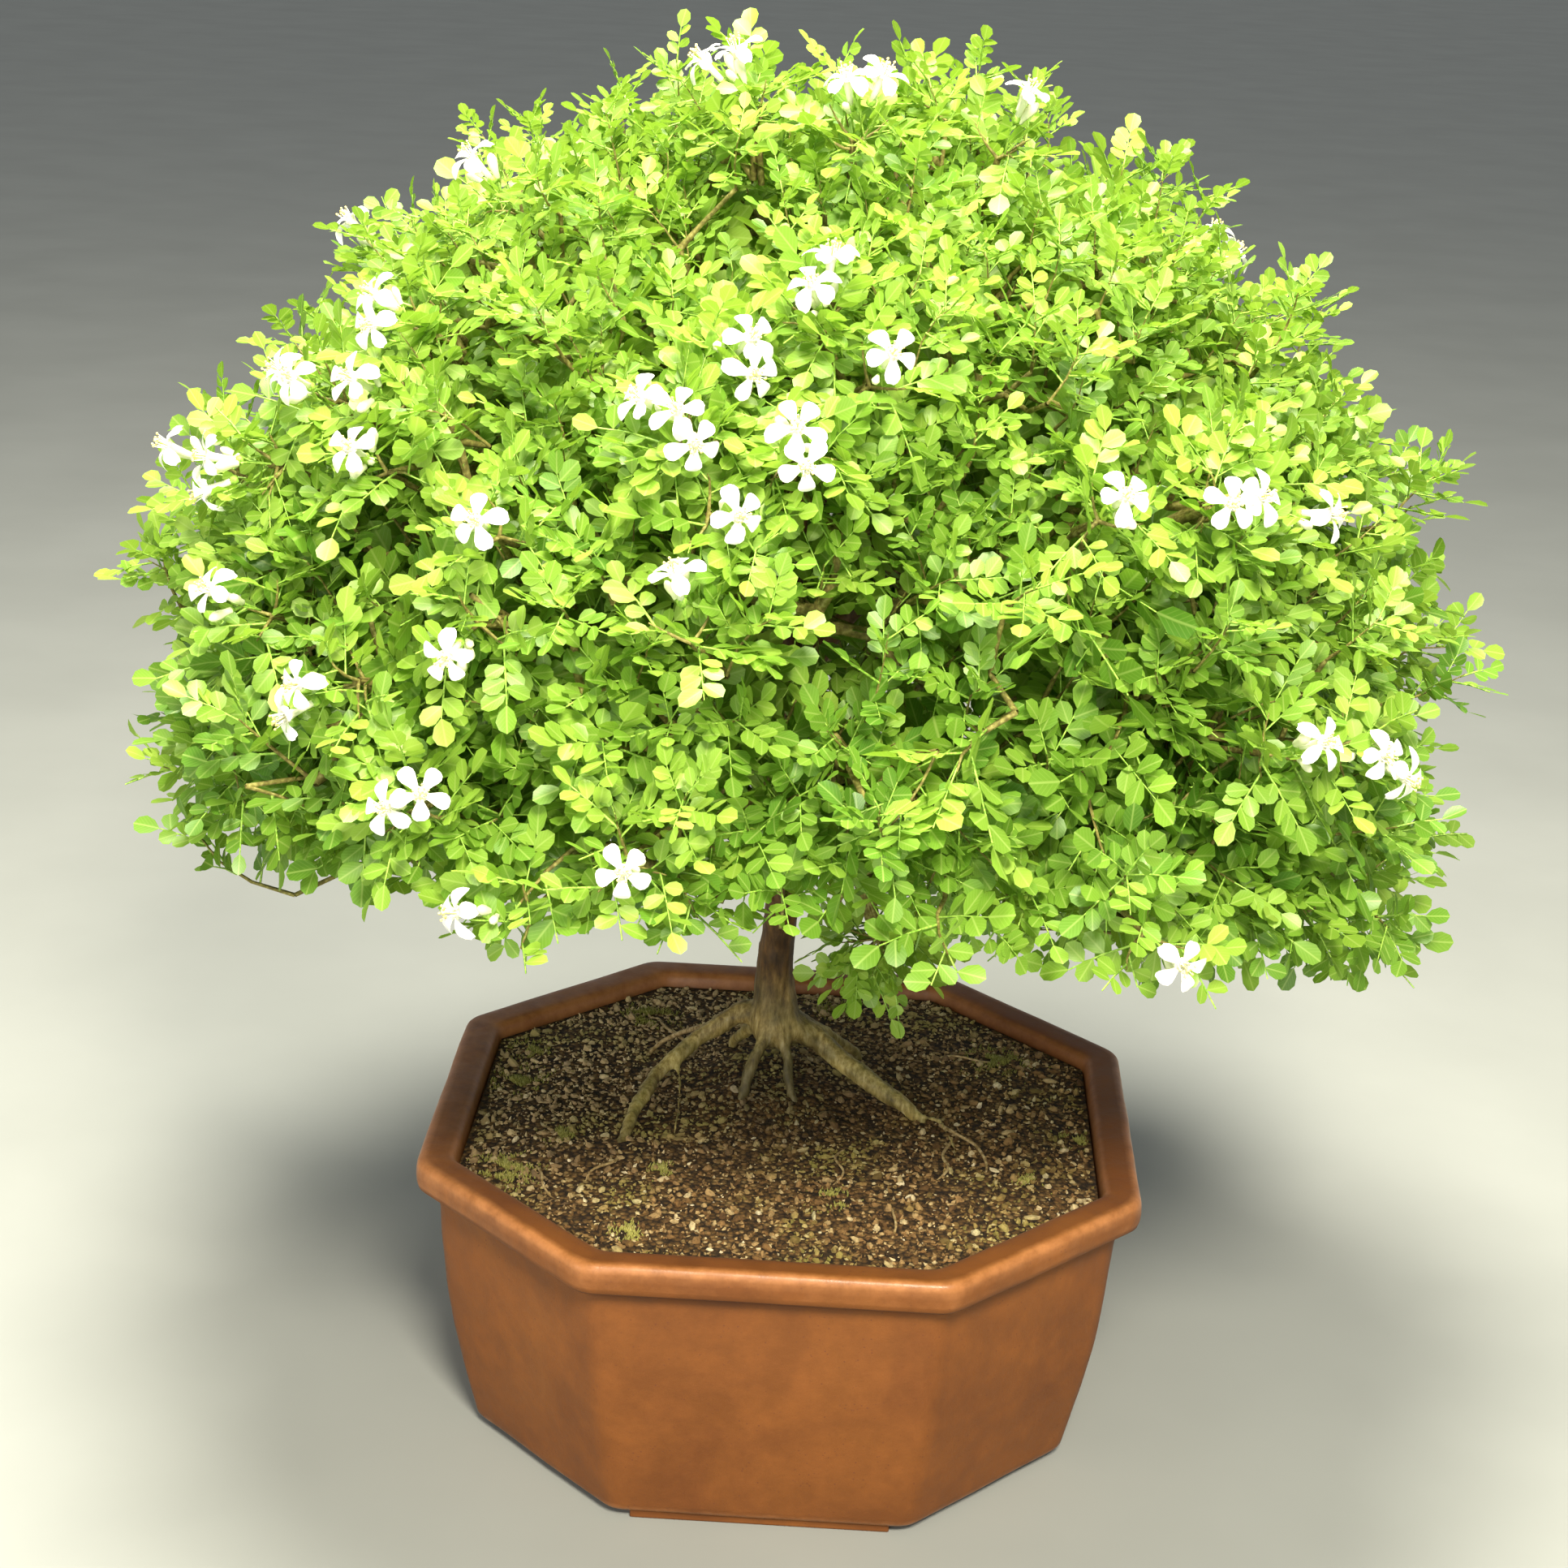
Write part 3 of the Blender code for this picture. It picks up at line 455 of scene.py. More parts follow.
ball = bmesh.new()
bmesh.ops.create_icosphere(ball, subdivisions=1, radius=1)
large = np.array([v.co for v in ball.verts])
large_sides = np.array([[v.index for v in f.verts] for f in ball.faces])
ball.free()
small = np.array([
    (1, 0, 0), (0, 1, 0.1), (-1, 0, 0), (0, -1, -0.1), (0.1, 0, 0.8), (0, 0.1, -0.8),
], np.float32)
small_sides = np.array([
    side for k in range(4) for side in ((k, (k + 1) % 4, 4), ((k + 1) % 4, k, 5))
])
draw = random.Random(7)
grain_points, grain_faces, grain_tones, grain_painted_shade, grain_painted_light = [], [], [], [], []
count = 0
for shape, sides, number, smallest, largest in (
    (large, large_sides, 1900, 1.0, 2.4), (small, small_sides, 8500, 0.6, 1.5),
):
    placed = 0
    while placed < number:
        x = draw.uniform(-SOIL_HALF, SOIL_HALF)
        y = draw.uniform(-SOIL_HALF, SOIL_HALF)
        spot = open_soil(x, y)
        if spot is None:
            continue
        size = smallest + (largest - smallest) * draw.random() ** 2.2
        turn = Matrix.Rotation(draw.uniform(0, math.tau), 3, Vector((
            draw.uniform(-1, 1), draw.uniform(-1, 1), draw.uniform(-1, 1),
        )).normalized())
        stretch = np.array([draw.uniform(0.7, 1.7), draw.uniform(0.6, 1.1), draw.uniform(0.5, 0.9)])
        jitter = np.array([[draw.uniform(0.8, 1.15)] for _ in shape])
        lump = (shape * jitter * stretch * size * MM) @ np.array(turn)
        spot.z += size * MM * draw.uniform(-0.15, 0.35)
        grain_points.append(lump + np.array(spot))
        grain_faces.append(sides + count)
        grain_tones += [draw.random()] * len(shape)
        # Painted shade: grains near the trunk's foot are darkened, where the roots and the crown shade
        # them.
        near = math.exp(-((Vector((x, y)) - TRUNK_FOOT).length / (46 * MM)) ** 2)
        grain_painted_shade += [0.75 * near] * len(shape)
        # Painted light: the grains at the left and back are paler, where the crown shades the soil.
        grain_painted_light += [0.44 * clamped(0.25 + y / 0.16 - x / 0.2)] * len(shape)
        count += len(shape)
        placed += 1

# Bark crumbs, grit and pale pumice: matt, each of one tone, most of them brown and few pale, darker
# beside the trunk as painted shade, paler at the left and back as painted light, and green with algae
# in places.
crumb, place = new_material("Bark crumbs and grit")
grain_colour = ramp(
    crumb, stored(crumb, "tone"), (0, "#4A3216"), (0.28, "#72532B"), (0.52, "#8C6C40"),
    (0.72, "#A08354"), (0.86, "#B39C6C"), (0.95, "#C6B286"), (1, "#DCCDA8"),
)
stain = mottled(crumb, place, 700, 3)
stains = ramp(crumb, stain, (0.35, "#9A9A9A"), (0.6, "#FFFFFF"))
stained = tinted(crumb, 0.6, grain_colour, stains, "MULTIPLY")
# The grains are darkened beside the trunk, a painted shade, and paler at the left and back, a painted
# light.
painted_shade_near_trunk = tinted(crumb, stored(crumb, "painted_shade_by_trunk"), stained, "#241A0C")
painted_light_left_back = tinted(crumb, stored(crumb, "painted_light"), painted_shade_near_trunk, "#CDB88C")
green_share = rescaled(crumb, mottled(crumb, place, 24, 3), 0.5, 0.66, 0, 0.6)
greened = tinted(crumb, green_share, painted_light_left_back, "#85803A")
finished(crumb, greened, 0.9, 1.45, bumpy(crumb, stain, 0.5, 0.3))
grains = mesh_piece(
    "soil_grains", np.concatenate(grain_points), np.concatenate(grain_faces).tolist(), [crumb],
    {"tone": grain_tones, "painted_shade_by_trunk": grain_painted_shade, "painted_light": grain_painted_light}, smooth=False,
)
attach(grains, "root")


# The moss: tufts of fine upright stems on the damp soil at the lip and beside the roots.

def heading(turn, rise=0):
    """A direction round the upright axis, with a rise."""
    return Vector((math.cos(turn), math.sin(turn), rise))


MOSS_PATCHES = [
    (-118, -66, 17), (-124, 20, 15), (-122, 54, 12), (-70, 98, 16), (-50, -60, 8),
    (-59, -116, 9), (96, 67, 17), (24, -79, 10), (-97, -34, 9), (130, -8, 10), (20, 118, 15),
    (108, -52, 7),
]
draw = random.Random(12)
moss_points, moss_faces, moss_tones = [], [], []
for x0, y0, radius in MOSS_PATCHES:
    for _ in range(int(radius * radius * 3.2)):
        out = abs(draw.gauss(0, 0.55)) * radius * MM
        turn = draw.uniform(0, math.tau)
        x, y = x0 * MM + math.cos(turn) * out, y0 * MM + math.sin(turn) * out
        spot = open_soil(x, y)
        if spot is None or noise(Vector((x, y, 0)) * 130) < 0:
            continue
        tall = draw.uniform(1.4, 2.9) * MM * (1.2 - 0.6 * out / (radius * MM))
        lean = Vector((draw.uniform(-0.6, 0.6), draw.uniform(-0.6, 0.6), 1)).normalized()
        first = len(moss_points)
        for k in range(3):
            moss_points.append(spot + heading(math.tau * k / 3 + turn) * 0.55 * MM)
        moss_points.append(spot + lean * max(tall, 0.8 * MM))
        for k in range(3):
            moss_faces.append((first + k, first + (k + 1) % 3, first + 3))
        moss_tones += [0.1, 0.1, 0.1, draw.uniform(0.5, 1)]

# Cushion moss: soft and matt, dark olive at its foot and pale yellow-green at its tips.
cushion, _ = new_material("Cushion moss")
moss_colour = ramp(cushion, stored(cushion, "tone"), (0, "#5C5A26"), (0.5, "#999548"),
                   (1, "#CCC884"))
finished(cushion, moss_colour, 0.9, 1.4)
moss = mesh_piece("moss_tufts", moss_points, moss_faces, [cushion], {"tone": moss_tones})
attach(moss, "root")


# The roots, trunk and limbs: one piece of grown wood with thin smooth bark, ridged lengthwise
# where the roots run together, and a few fine rootlets of the year on the soil.

def tube(route, sides):
    """Points and faces of a tapered tube through a route of (point, radius)."""
    points, faces = [], []
    across = None
    for i, (point, radius) in enumerate(route):
        before = route[max(i - 1, 0)][0]
        after = route[min(i + 1, len(route) - 1)][0]
        along = (after - before).normalized()
        across = (across or along.orthogonal()).cross(along).cross(along).normalized() * -1
        other = along.cross(across)
        for k in range(sides):
            turn = math.tau * k / sides
            points.append(point + (across * math.cos(turn) + other * math.sin(turn)) * radius)
        if i:
            first = (i - 1) * sides
            for k in range(sides):
                j = (k + 1) % sides
                faces.append((first + k, first + j, first + sides + j, first + sides + k))
    faces.append(tuple(range(sides))[::-1])
    faces.append(tuple(range(len(points) - sides, len(points))))
    return points, faces


def smooth_route(corners, steps):
    """A curve through corners of (x, y, z, radius) in millimetres, as points and radii."""
    knots = [Vector(c) for c in corners]
    knots = [knots[0] * 2 - knots[1], *knots, knots[-1] * 2 - knots[-2]]
    route = []
    for a, b, c, d in zip(knots, knots[1:], knots[2:], knots[3:]):
        for k in range(steps):
            t = k / steps
            p = (b * 2 + (c - a) * t + (a * 2 - b * 5 + c * 4 - d) * t * t
                 + (b * 3 - a - c * 3 + d) * t ** 3) / 2
            route.append((p.to_3d() * MM, p.w * MM))
    route.append((knots[-2].to_3d() * MM, knots[-2].w * MM))
    return route


CROWN = Vector((-3, 3, 329)) * MM

# How far the underside is clipped up, in degrees from the front towards the right, and in
# millimetres: most in front of the trunk, so that the trunk and its roots show.
CLIPPED_UP = (
    (-180, 0), (-90, 0), (-60, 8), (-36, 28), (-26, 30), (-15, 48), (-6, 66), (8, 66), (20, 54),
    (27, 40), (34, 18), (48, 3), (60, 8), (90, 0), (180, 0),
)
CLIP_TURNS, CLIP_LIFTS = zip(*CLIPPED_UP)


def clip_lift(x, y):
    """How far the underside is clipped up, towards a place."""
    azimuth = math.degrees(math.atan2(x - CROWN.x, CROWN.y - y))
    return float(np.interp(azimuth, CLIP_TURNS, CLIP_LIFTS)) * MM


def raised_limb(p):
    """Where a point of a low limb goes, when the limbs rise with the clipped underside."""
    flat = math.hypot(p.x - CROWN.x, p.y - CROWN.y)
    share = clamped(flat / (110 * MM) - 0.3) * clamped(6.6 - p.z / 0.06)
    return Vector((p.x, p.y, p.z + clip_lift(p.x, p.y) * share * (1 if p.z > 0.25 else 0)))


# Ridges where each root flows up into the trunk, and thin roots beside them.
RIDGES = [
    [(-22, 25, 165, 3.4), (-13, 21, 171, 3.4), (-12, 18.5, 188, 2.6), (-11.5, 16.5, 208, 2)],
    [(11, 20, 156, 3.6), (1, 18.5, 167, 3.6), (-3.5, 18, 186, 2.6), (-4, 15, 212, 2)],
    [(-13, 13, 155, 2.4), (-11, 15.5, 166, 3), (-9.5, 17, 184, 2.2), (-8, 14.5, 202, 1.8)],
    [(-1, 12, 153, 2.2), (-4, 15, 165, 2.8), (-6, 16.8, 180, 2.2), (-7, 15.5, 194, 1.8)],
    [(-18, 44, 152, 2.8), (-12, 32, 166, 4), (-10.5, 29, 186, 3), (-9, 26.5, 216, 2.2)],
    [(15, 42, 152, 2.8), (0, 32, 166, 4), (-5, 30, 184, 3), (-5, 26, 212, 2.4)],
    [(-9, 15, 163, 3), (-14, 10, 154, 3), (-18, 6, 145, 2.6), (-20, 1, 134, 2.2)],
    [(-3, 14, 161, 3), (0, 10, 152, 2.6), (1, 6, 144, 2.4), (5, 0, 134, 1.9)],
]
grown = bmesh.new()
grown.from_mesh(solids["trunk_roots_and_limbs"].data)
for vertex in grown.verts:
    vertex.co = raised_limb(vertex.co)
for ridge in RIDGES:
    points, faces = tube(smooth_route(ridge, 5), 8)
    corners = [grown.verts.new(point) for point in points]
    for face in faces:
        grown.faces.new([corners[i] for i in face])
bmesh.ops.recalc_face_normals(grown, faces=grown.faces)
wood = cast_piece("wood", grown)
skin = wood.modifiers.new("skin", "REMESH")
skin.mode = "VOXEL"
skin.voxel_size = 1.25 * MM
eased = wood.modifiers.new("eased", "SMOOTH")
eased.factor = 0.6
eased.iterations = 7
applied(wood)
skin_points = [(vertex.co.copy(), vertex.normal.copy()) for vertex in wood.data.vertices]
for vertex, (p, way) in zip(wood.data.vertices, skin_points):
    streak = Vector((p.x * 300, p.y * 300, p.z * 55))
    thick = 1 if p.z < 0.3 else 0.5
    swell = (fractal(streak, 0.7, 2.0, 3) * 0.75 + fractal(p * 75, 0.8, 2.0, 2) * 0.9) * thick
    vertex.co = p + way * swell * 0.6 * MM
coarser = wood.modifiers.new("coarser", "DECIMATE")
coarser.ratio = 0.36
applied(wood)
wood.data.polygons.foreach_set("use_smooth", [True] * len(wood.data.polygons))

# Thin jasmine bark: dull, olive-brown with pale lengthwise streaks, darker in patches, with a green
# bloom of algae, browner up the trunk, and darkened in the hollow among the roots, a painted shade.
bark, place = new_material("Thin jasmine bark")
drawn = add(bark, "Mapping", {"Scale": (1, 1, 0.22), "Vector": place}).outputs["Vector"]
streaks = mottled(bark, drawn, 420, 5, 0.65)
bark_colour = ramp(bark, streaks, (0.30, "#6C5830"), (0.46, "#A89250"), (0.60, "#CEBA76"),
                   (0.75, "#E4D5A2"))
lifted = ramp(bark, mottled(bark, place, 70, 4, 0.6), (0.35, "#8A8A8A"), (0.62, "#FFFFFF"))
aged = tinted(bark, 0.8, bark_colour, lifted, "MULTIPLY")
algae_share = rescaled(bark, mottled(bark, place, 46, 4, 0.65), 0.42, 0.66, 0, 0.3)
greened = tinted(bark, algae_share, aged, "#5F6320")
height = add(bark, "SeparateXYZ", {"Vector": place}).outputs["Z"]
upper_share = rescaled(bark, height, 0.15, 0.195, 0, 0.95)
browned = tinted(bark, upper_share, greened, "#7C5A26", "MULTIPLY")
# Painted shade: the bark darkens close to the hollow under the arch of the roots.
from_hollow = add(bark, "VectorMath", {
    "operation": "DISTANCE", 0: place, 1: Vector((-6, 2, 140)) * MM,
}).outputs["Value"]
painted_shade_near_trunk = tinted(bark, rescaled(bark, from_hollow, 0.012, 0.032, 0.75, 0), browned, "#2C2812")
finished(bark, painted_shade_near_trunk, 0.62, 1.45, bumpy(bark, streaks, 0.6, 0.5))
dress(wood, bark)
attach(wood, "root")
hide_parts("trunk_roots_and_limbs")

# Rootlets in millimetres, each place with its height over the soil and its radius.
ROOTLETS = [
    [(-40, 36, 20, 1.5), (-50, 51, 13, 1.2), (-60, 57, 6, 1.1), (-66, 54, 0.5, 0.9), (-69, 50, -2, 0.7)],
    [(-40, 60, -1, 0.9), (-52, 72, 1, 0.8), (-62, 86, 1, 0.7), (-66, 100, -1, 0.5)],
    [(70, -4, 0.8, 1), (78, -14, 1.2, 0.8), (86, -24, 1, 0.7), (90, -40, 0.8, 0.6), (89, -52, -1, 0.4)],
    [(75, -20, 1, 0.8), (71, -34, 1, 0.7), (73, -48, 0.8, 0.6), (66, -60, -1, 0.4)],
    [(49, -82, -1, 0.55), (50, -92, 1.3, 0.6), (51, -102, 1.3, 0.55), (49, -111, -1, 0.4)],
    [(-105, -60, -1, 0.5), (-101, -70, 1.3, 0.6), (-99, -80, 1.3, 0.55), (-93, -90, -1, 0.4)],
    [(-70, -50, -1, 0.8), (-72, -58, 1, 0.7), (-80, -66, 1, 0.5), (-82, -76, -1, 0.35)],
    [(30, -30, -1, 0.5), (24, -44, 1.2, 0.55), (28, -58, 1.2, 0.5), (22, -70, -1, 0.35)],
    [(60, 60, -1, 0.6), (76, 66, 1.2, 0.6), (90, 62, 1.2, 0.5), (101, 68, -1, 0.35)],
]
root_points, root_faces = [], []
for rootlet in ROOTLETS:
    corners = []
    for x, y, raised, radius in rootlet:
        spot = soil_spot(x * MM, y * MM)
        corners.append((x, y, spot.z / MM + raised, radius))
    points, faces = tube(smooth_route(corners, 6), 6)
    root_faces += [tuple(i + len(root_points) for i in face) for face in faces]
    root_points += points

# Young root bark: thin and corky, straw-coloured where it is new.
straw_tones = ((0.35, "#7A6234"), (0.55, "#A89062"), (0.75, "#CDB98C"))
straw = grained("Young root bark", 500, 3, straw_tones, 0.75, 1.45, 0.4, 0.2)
rootlets = mesh_piece("rootlets", root_points, root_faces, [straw])
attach(rootlets, "root")


# The blooms: five waxy white petals that curve back from a slender tube, ten stamens about a
# pale yellow style, and a small calyx, on a green stalk with the next buds beside it.

def bloom_pose(name):
    """The foot, the axis and the spin of a bloom's solid, which faces along its tube."""
    points = np.array([v.co for v in solids[name].data.vertices])
    middle = points.mean(0)
    _, _, ways = np.linalg.svd(points - middle)
    axis = Vector(ways[2])
    heights = (points - middle) @ np.array(axis)
    if heights.max() > -heights.min():
        axis, heights = -axis, -heights
    foot = Vector(points[heights < heights.min() + 1 * MM].mean(0))
    far = points - np.array(foot)
    out = far - np.outer(far @ np.array(axis), np.array(axis))
    tip = Vector(out[np.linalg.norm(out, axis=1).argmax()]).normalized()
    return foot, axis, tip


TUBE_LENGTH = 13 * MM
PETAL_LENGTH = 10.2 * MM
PETAL_HALF = 3.0 * MM
bloom_draw = random.Random(4)


class Shape:
    """Points and faces, with a tone for each point and the number of a material for each face."""

    def __init__(self):
        self.points, self.faces, self.tones, self.finishes = [], [], [], []

    def take(self, points, faces, tone, finish, placed=Matrix()):
        """Adds points and faces, moved to their place, with one tone and finish or one for each."""
        start = len(self.points)
        self.points += [placed @ Vector(p) for p in points]
        self.faces += [[i + start for i in face] for face in faces]
        self.tones += tone if isinstance(tone, list) else [tone] * len(points)
        self.finishes += finish if isinstance(finish, list) else [finish] * len(faces)


def petal(turn, draw):
    """One petal: narrow at its foot, widest past the middle, and curved back at its tip."""
    points, faces, tones = [], [], []
    lift = draw.uniform(-0.25, 0.45)
    twist = draw.uniform(-0.5, 0.5)
    long = PETAL_LENGTH * draw.uniform(0.86, 1.08)
    hook = draw.uniform(0.06, 0.2)
    for i, (t, width) in enumerate((
        (0, 0.34), (0.16, 0.42), (0.34, 0.66), (0.52, 0.92), (0.7, 1), (0.86, 0.8), (0.96, 0.42),
    )):
        reach = 1.2 * MM + long * (t - hook * t ** 3)
        height = TUBE_LENGTH + (5.2 * t * (1 + lift) - (7.2 - 5 * lift) * t ** 2.4) * MM
        for k in (-2, -1, 0, 1, 2):
            across = k / 2 * PETAL_HALF * width
            cup = (abs(k) / 2) ** 2 * (0.7 - 1.2 * t) * MM + across * twist * t
            points.append((
                reach * math.cos(turn) - across * math.sin(turn),
                reach * math.sin(turn) + across * math.cos(turn),
                height + cup,
            ))
        tones += [t] * 5
        if i:
            for a in range(i * 5 - 5, i * 5 - 1):
                faces.append((a, a + 1, a + 6, a + 5))
    return points, faces, tones


def upright_tube(rings, sides, scale=1):
    """A tube along +Z through rings of (height, radius) in millimetres."""
    return tube([(Vector((0, 0, z)) * MM * scale, radius * MM * scale) for z, radius in rings], sides)


def bloom_parts(draw):
    """A whole bloom along +Z from the foot of its tube: points, faces, tones and finishes."""
    flower = Shape()
    for i in range(5):
        flower.take(*petal(math.tau * i / 5 + draw.uniform(-0.08, 0.08), draw), 0)
    corolla = ((1.5, 1.3), (6, 1.3), (11, 1.7), (12.6, 2.2), (13.6, 2.9))
    calyx = ((0, 1.2), (0.8, 1.9), (2.4, 1.8), (3.2, 1.2))
    flower.take(*upright_tube(corolla, 8), 0.1, 0)
    flower.take(*upright_tube(calyx, 6), 0, 2)
    for i in range(10):
        turn = math.tau * i / 10 + draw.uniform(-0.15, 0.15)
        tall = (5.6 if i % 2 else 4.4) + draw.uniform(-0.5, 0.5)
        side = heading(turn)
        foot = Vector((0, 0, 12.5)) + side * 1.1
        head = Vector((0, 0, 12.5 + tall)) + side * (2.6 if i % 2 else 1.8)
        flower.take(*tube([(foot * MM, 0.22 * MM), (head * MM, 0.18 * MM)], 3), 0.5, 0)
        anther = head + Vector((0, 0, 0.9))
        flower.take(*tube([
            ((head - side * 0.2) * MM, 0.3 * MM), (head.lerp(anther, 0.5) * MM, 0.6 * MM),
            (anther * MM, 0.25 * MM),
        ], 4), 1, 1)
    flower.take(*upright_tube(((12, 0.35), (17.5, 0.35), (18.2, 0.8), (19, 0.7)), 5), 1, 1)
    return flower.points, flower.faces, flower.tones, flower.finishes


def bud_parts(size):
    """A closed bud along +Z from its foot, green below and white at its head."""
    rings = ((0, 0.8), (1.5, 1.5), (4, 1.5), (7, 2.1), (9.5, 2.2), (11.4, 1.4), (12.2, 0.4))
    points, faces = upright_tube(rings, 6, size)
    return points, faces, [0] * len(points), [2 if i < 6 else 0 for i in range(len(faces))]


# Fresh petal: waxy, white with a breath of cream at its foot, and light passes through it.
petal_finish, place = new_material("Waxy white petal")
petal_colour = ramp(petal_finish, stored(petal_finish, "tone"), (0, "#EDF0CF"), (0.3, "#F8F9F0"),
                    (1, "#FDFDFB"))
cells = mottled(petal_finish, place, 900, 2)
finished(petal_finish, petal_colour, 0.45, 1.42, bumpy(petal_finish, cells, 0.15, 0.2),
         (0.3, petal_colour))

# Pollen: a dry pale-yellow dust on the anthers and the style, with no gloss.
pollen = grained("Pale yellow pollen", 1500, 2, ((0.35, "#D9C76A"), (0.7, "#F1E7A6")), 0.9, 1.45)

# Green stalk: smooth young growth, a little glossy, with darker oil dots.
oil_dots = ((0.35, "#6C9A2C"), (0.65, "#A3C455"))
stalk_finish = grained("Green flower stalk", 800, 2, oil_dots, 0.5, 1.42)

# Numbers of the blooms that stand in a cluster, and how many more are beside each: the photograph's
# own clusters, and three (31, 34 and 36) on the sides that it doesn't show.
CLUSTERS = {15: 2, **dict.fromkeys((1, 2, 5, 7, 9, 12, 16, 19, 20, 23, 26, 27, 31, 34, 36), 1)}
blooms = []
for name in sorted(n for n in solids if n.startswith("bloom_")):
    foot, axis, tip = bloom_pose(name)
    side = axis.cross(tip).normalized()
    turned = Matrix((side.cross(axis), side, axis)).transposed().to_4x4()
    whole = Matrix.Translation(foot) @ turned
    cluster = Shape()
    cluster.take(*bloom_parts(bloom_draw), whole)
    aside = bloom_draw.uniform(0, math.tau)
    for _ in range(CLUSTERS.get(int(name[-2:]), 0)):
        aside += 2.4
        lean = Vector((math.cos(aside) * 0.55, math.sin(aside) * 0.55, 1)).normalized()
        way = (turned.to_3x3() @ lean).normalized()
        second = way.to_track_quat("Z", "Y").to_matrix().to_4x4()
        spin = Matrix.Rotation(bloom_draw.uniform(0, math.tau), 4, "Z")
        stand = foot + way * 5 * MM - axis * 3 * MM
        stand += (turned.to_3x3() @ heading(aside)) * 4.5 * MM
        placed = Matrix.Translation(stand) @ second @ spin
        cluster.take(*bloom_parts(bloom_draw), placed)
        blooms.append((stand, way))
    for _ in range(bloom_draw.choice((1, 2, 2, 3))):
        lean = Vector((bloom_draw.uniform(-1, 1), bloom_draw.uniform(-1, 1), 1.1)).normalized()
        bud_way = (turned.to_3x3() @ lean).normalized()
        bud_foot = foot + bud_way * bloom_draw.uniform(1, 6) * MM - axis * 3 * MM
        upright_bud = bud_way.to_track_quat("Z", "Y").to_matrix().to_4x4()
        set_bud = Matrix.Translation(bud_foot) @ upright_bud
        cluster.take(*bud_parts(bloom_draw.uniform(0.6, 1)), set_bud)
        cluster.take(*tube([
            (foot - axis * 10 * MM, 0.5 * MM), (bud_foot - bud_way * 3 * MM, 0.5 * MM),
            (bud_foot + bud_way * 0.5 * MM, 0.7 * MM),
        ], 4), 0, 2)
    bloom = mesh_piece(
        "jasmine_" + name, cluster.points, cluster.faces, [petal_finish, pollen, stalk_finish],
        {"tone": cluster.tones},
    )
    bloom.data.polygons.foreach_set("material_index", cluster.finishes)
    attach(bloom, "root")
    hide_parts(name)
    blooms.append((foot, axis))


# The foliage: compound leaves of five to seven blunt leaflets, set spirally on the young shoots.
# The shoots stand close all over a clipped round crown, on twigs that fork from the limbs.

CROWN_RADIUS = 287 * MM
CROWN_RISE = 272 * MM
CROWN_DROP = 76 * MM
LEFT_SHOULDER = Vector((-0.75, -0.1, 0.65)).normalized()
LOW_MIDDLES = [
    (-7, -198, 308), (148, -131, 304), (201, -11, 307), (146, 146, 310), (-24, 202, 312),
    (-140, 151, 315), (-206, -5, 312), (-155, -133, 311),
]
HIGH_MIDDLES = [
    (48, -103, 439), (124, -2, 439), (61, 116, 433), (-68, 108, 440), (-121, -2, 429),
    (-79, -103, 433),
]
BRANCH_MIDDLES = {f"leafy_branch_low_{i}": spot for i, spot in enumerate(LOW_MIDDLES, 1)}
BRANCH_MIDDLES |= {f"leafy_branch_middle_{i}": spot for i, spot in enumerate(HIGH_MIDDLES, 1)}
BRANCH_MIDDLES |= {"leafy_branch_top": (-12, 3, 516), "leafy_sprig": (34, -34, 240)}
SHOOT_TIPS = [
    (-33, -20, 610), (35, 10, 600), (126, 5, 570), (199, 5, 514), (287, 15, 366),
    (-296, 5, 378), (-288, -20, 292), (64, 200, 549), (-150, 180, 504),
]


def crown_reach(direction):
    """Distance from the crown's middle to its outline along a unit direction."""
    flat = math.hypot(direction.x, direction.y)
    if direction.z >= 0:
        reach = 1 / math.hypot(flat / CROWN_RADIUS, direction.z / CROWN_RISE)
    else:
        clipped = clip_lift(CROWN.x + direction.x, CROWN.y + direction.y)
        drop = CROWN_DROP + 16 * MM * direction.x - clipped
        reach = ((flat / CROWN_RADIUS) ** 3.4 + (-direction.z / drop) ** 3.4) ** (-1 / 3.4)
    lobes = 1 + 0.012 * math.sin(7 * math.atan2(direction.y, direction.x) + 5 * direction.z)
    dip = 0.05 * math.exp(-((direction - LEFT_SHOULDER).length / 0.35) ** 2)
    return reach * (lobes - dip)


def depth_in_crown(point):
    """How deep a point is under the crown's outline, measured from its middle."""
    away = point - CROWN
    return crown_reach(away.normalized()) - away.length


def crown_face(point):
    """The way that the outline faces near a point."""
    step = 2 * MM
    here = depth_in_crown(point)
    slope = [here - depth_in_crown(point + Vector(way) * step)
             for way in ((1, 0, 0), (0, 1, 0), (0, 0, 1))]
    return Vector(slope).normalized()


# How deep wood keeps under the outline, above which height it does so, and the turn from leaf
# to leaf along a shoot.
UNDER_LEAVES = 46 * MM
BARE_WOOD = 262 * MM
GOLDEN_TURN = math.radians(137.5)


def tucked(point):
    """A point of the wood, moved in under the leaves if it is too near the outline."""
    depth = depth_in_crown(point)
    return point + (CROWN - point).normalized() * max(0, UNDER_LEAVES - depth)


def scatter(draw, spread):
    """A random step any way."""
    return Vector([draw.gauss(0, spread) for _ in range(3)])


@dataclass
class Shoot:
    """A young shoot. open_face is the way that the crown faces there, stand_out how far its
    leaves may stand out, and blade which shape its leaflets have."""

    foot: Vector
    way: Vector
    length: float
    size: float
    leaves: int
    youth_and_light: float
    open_face: Vector
    stand_out: float
    blade: str


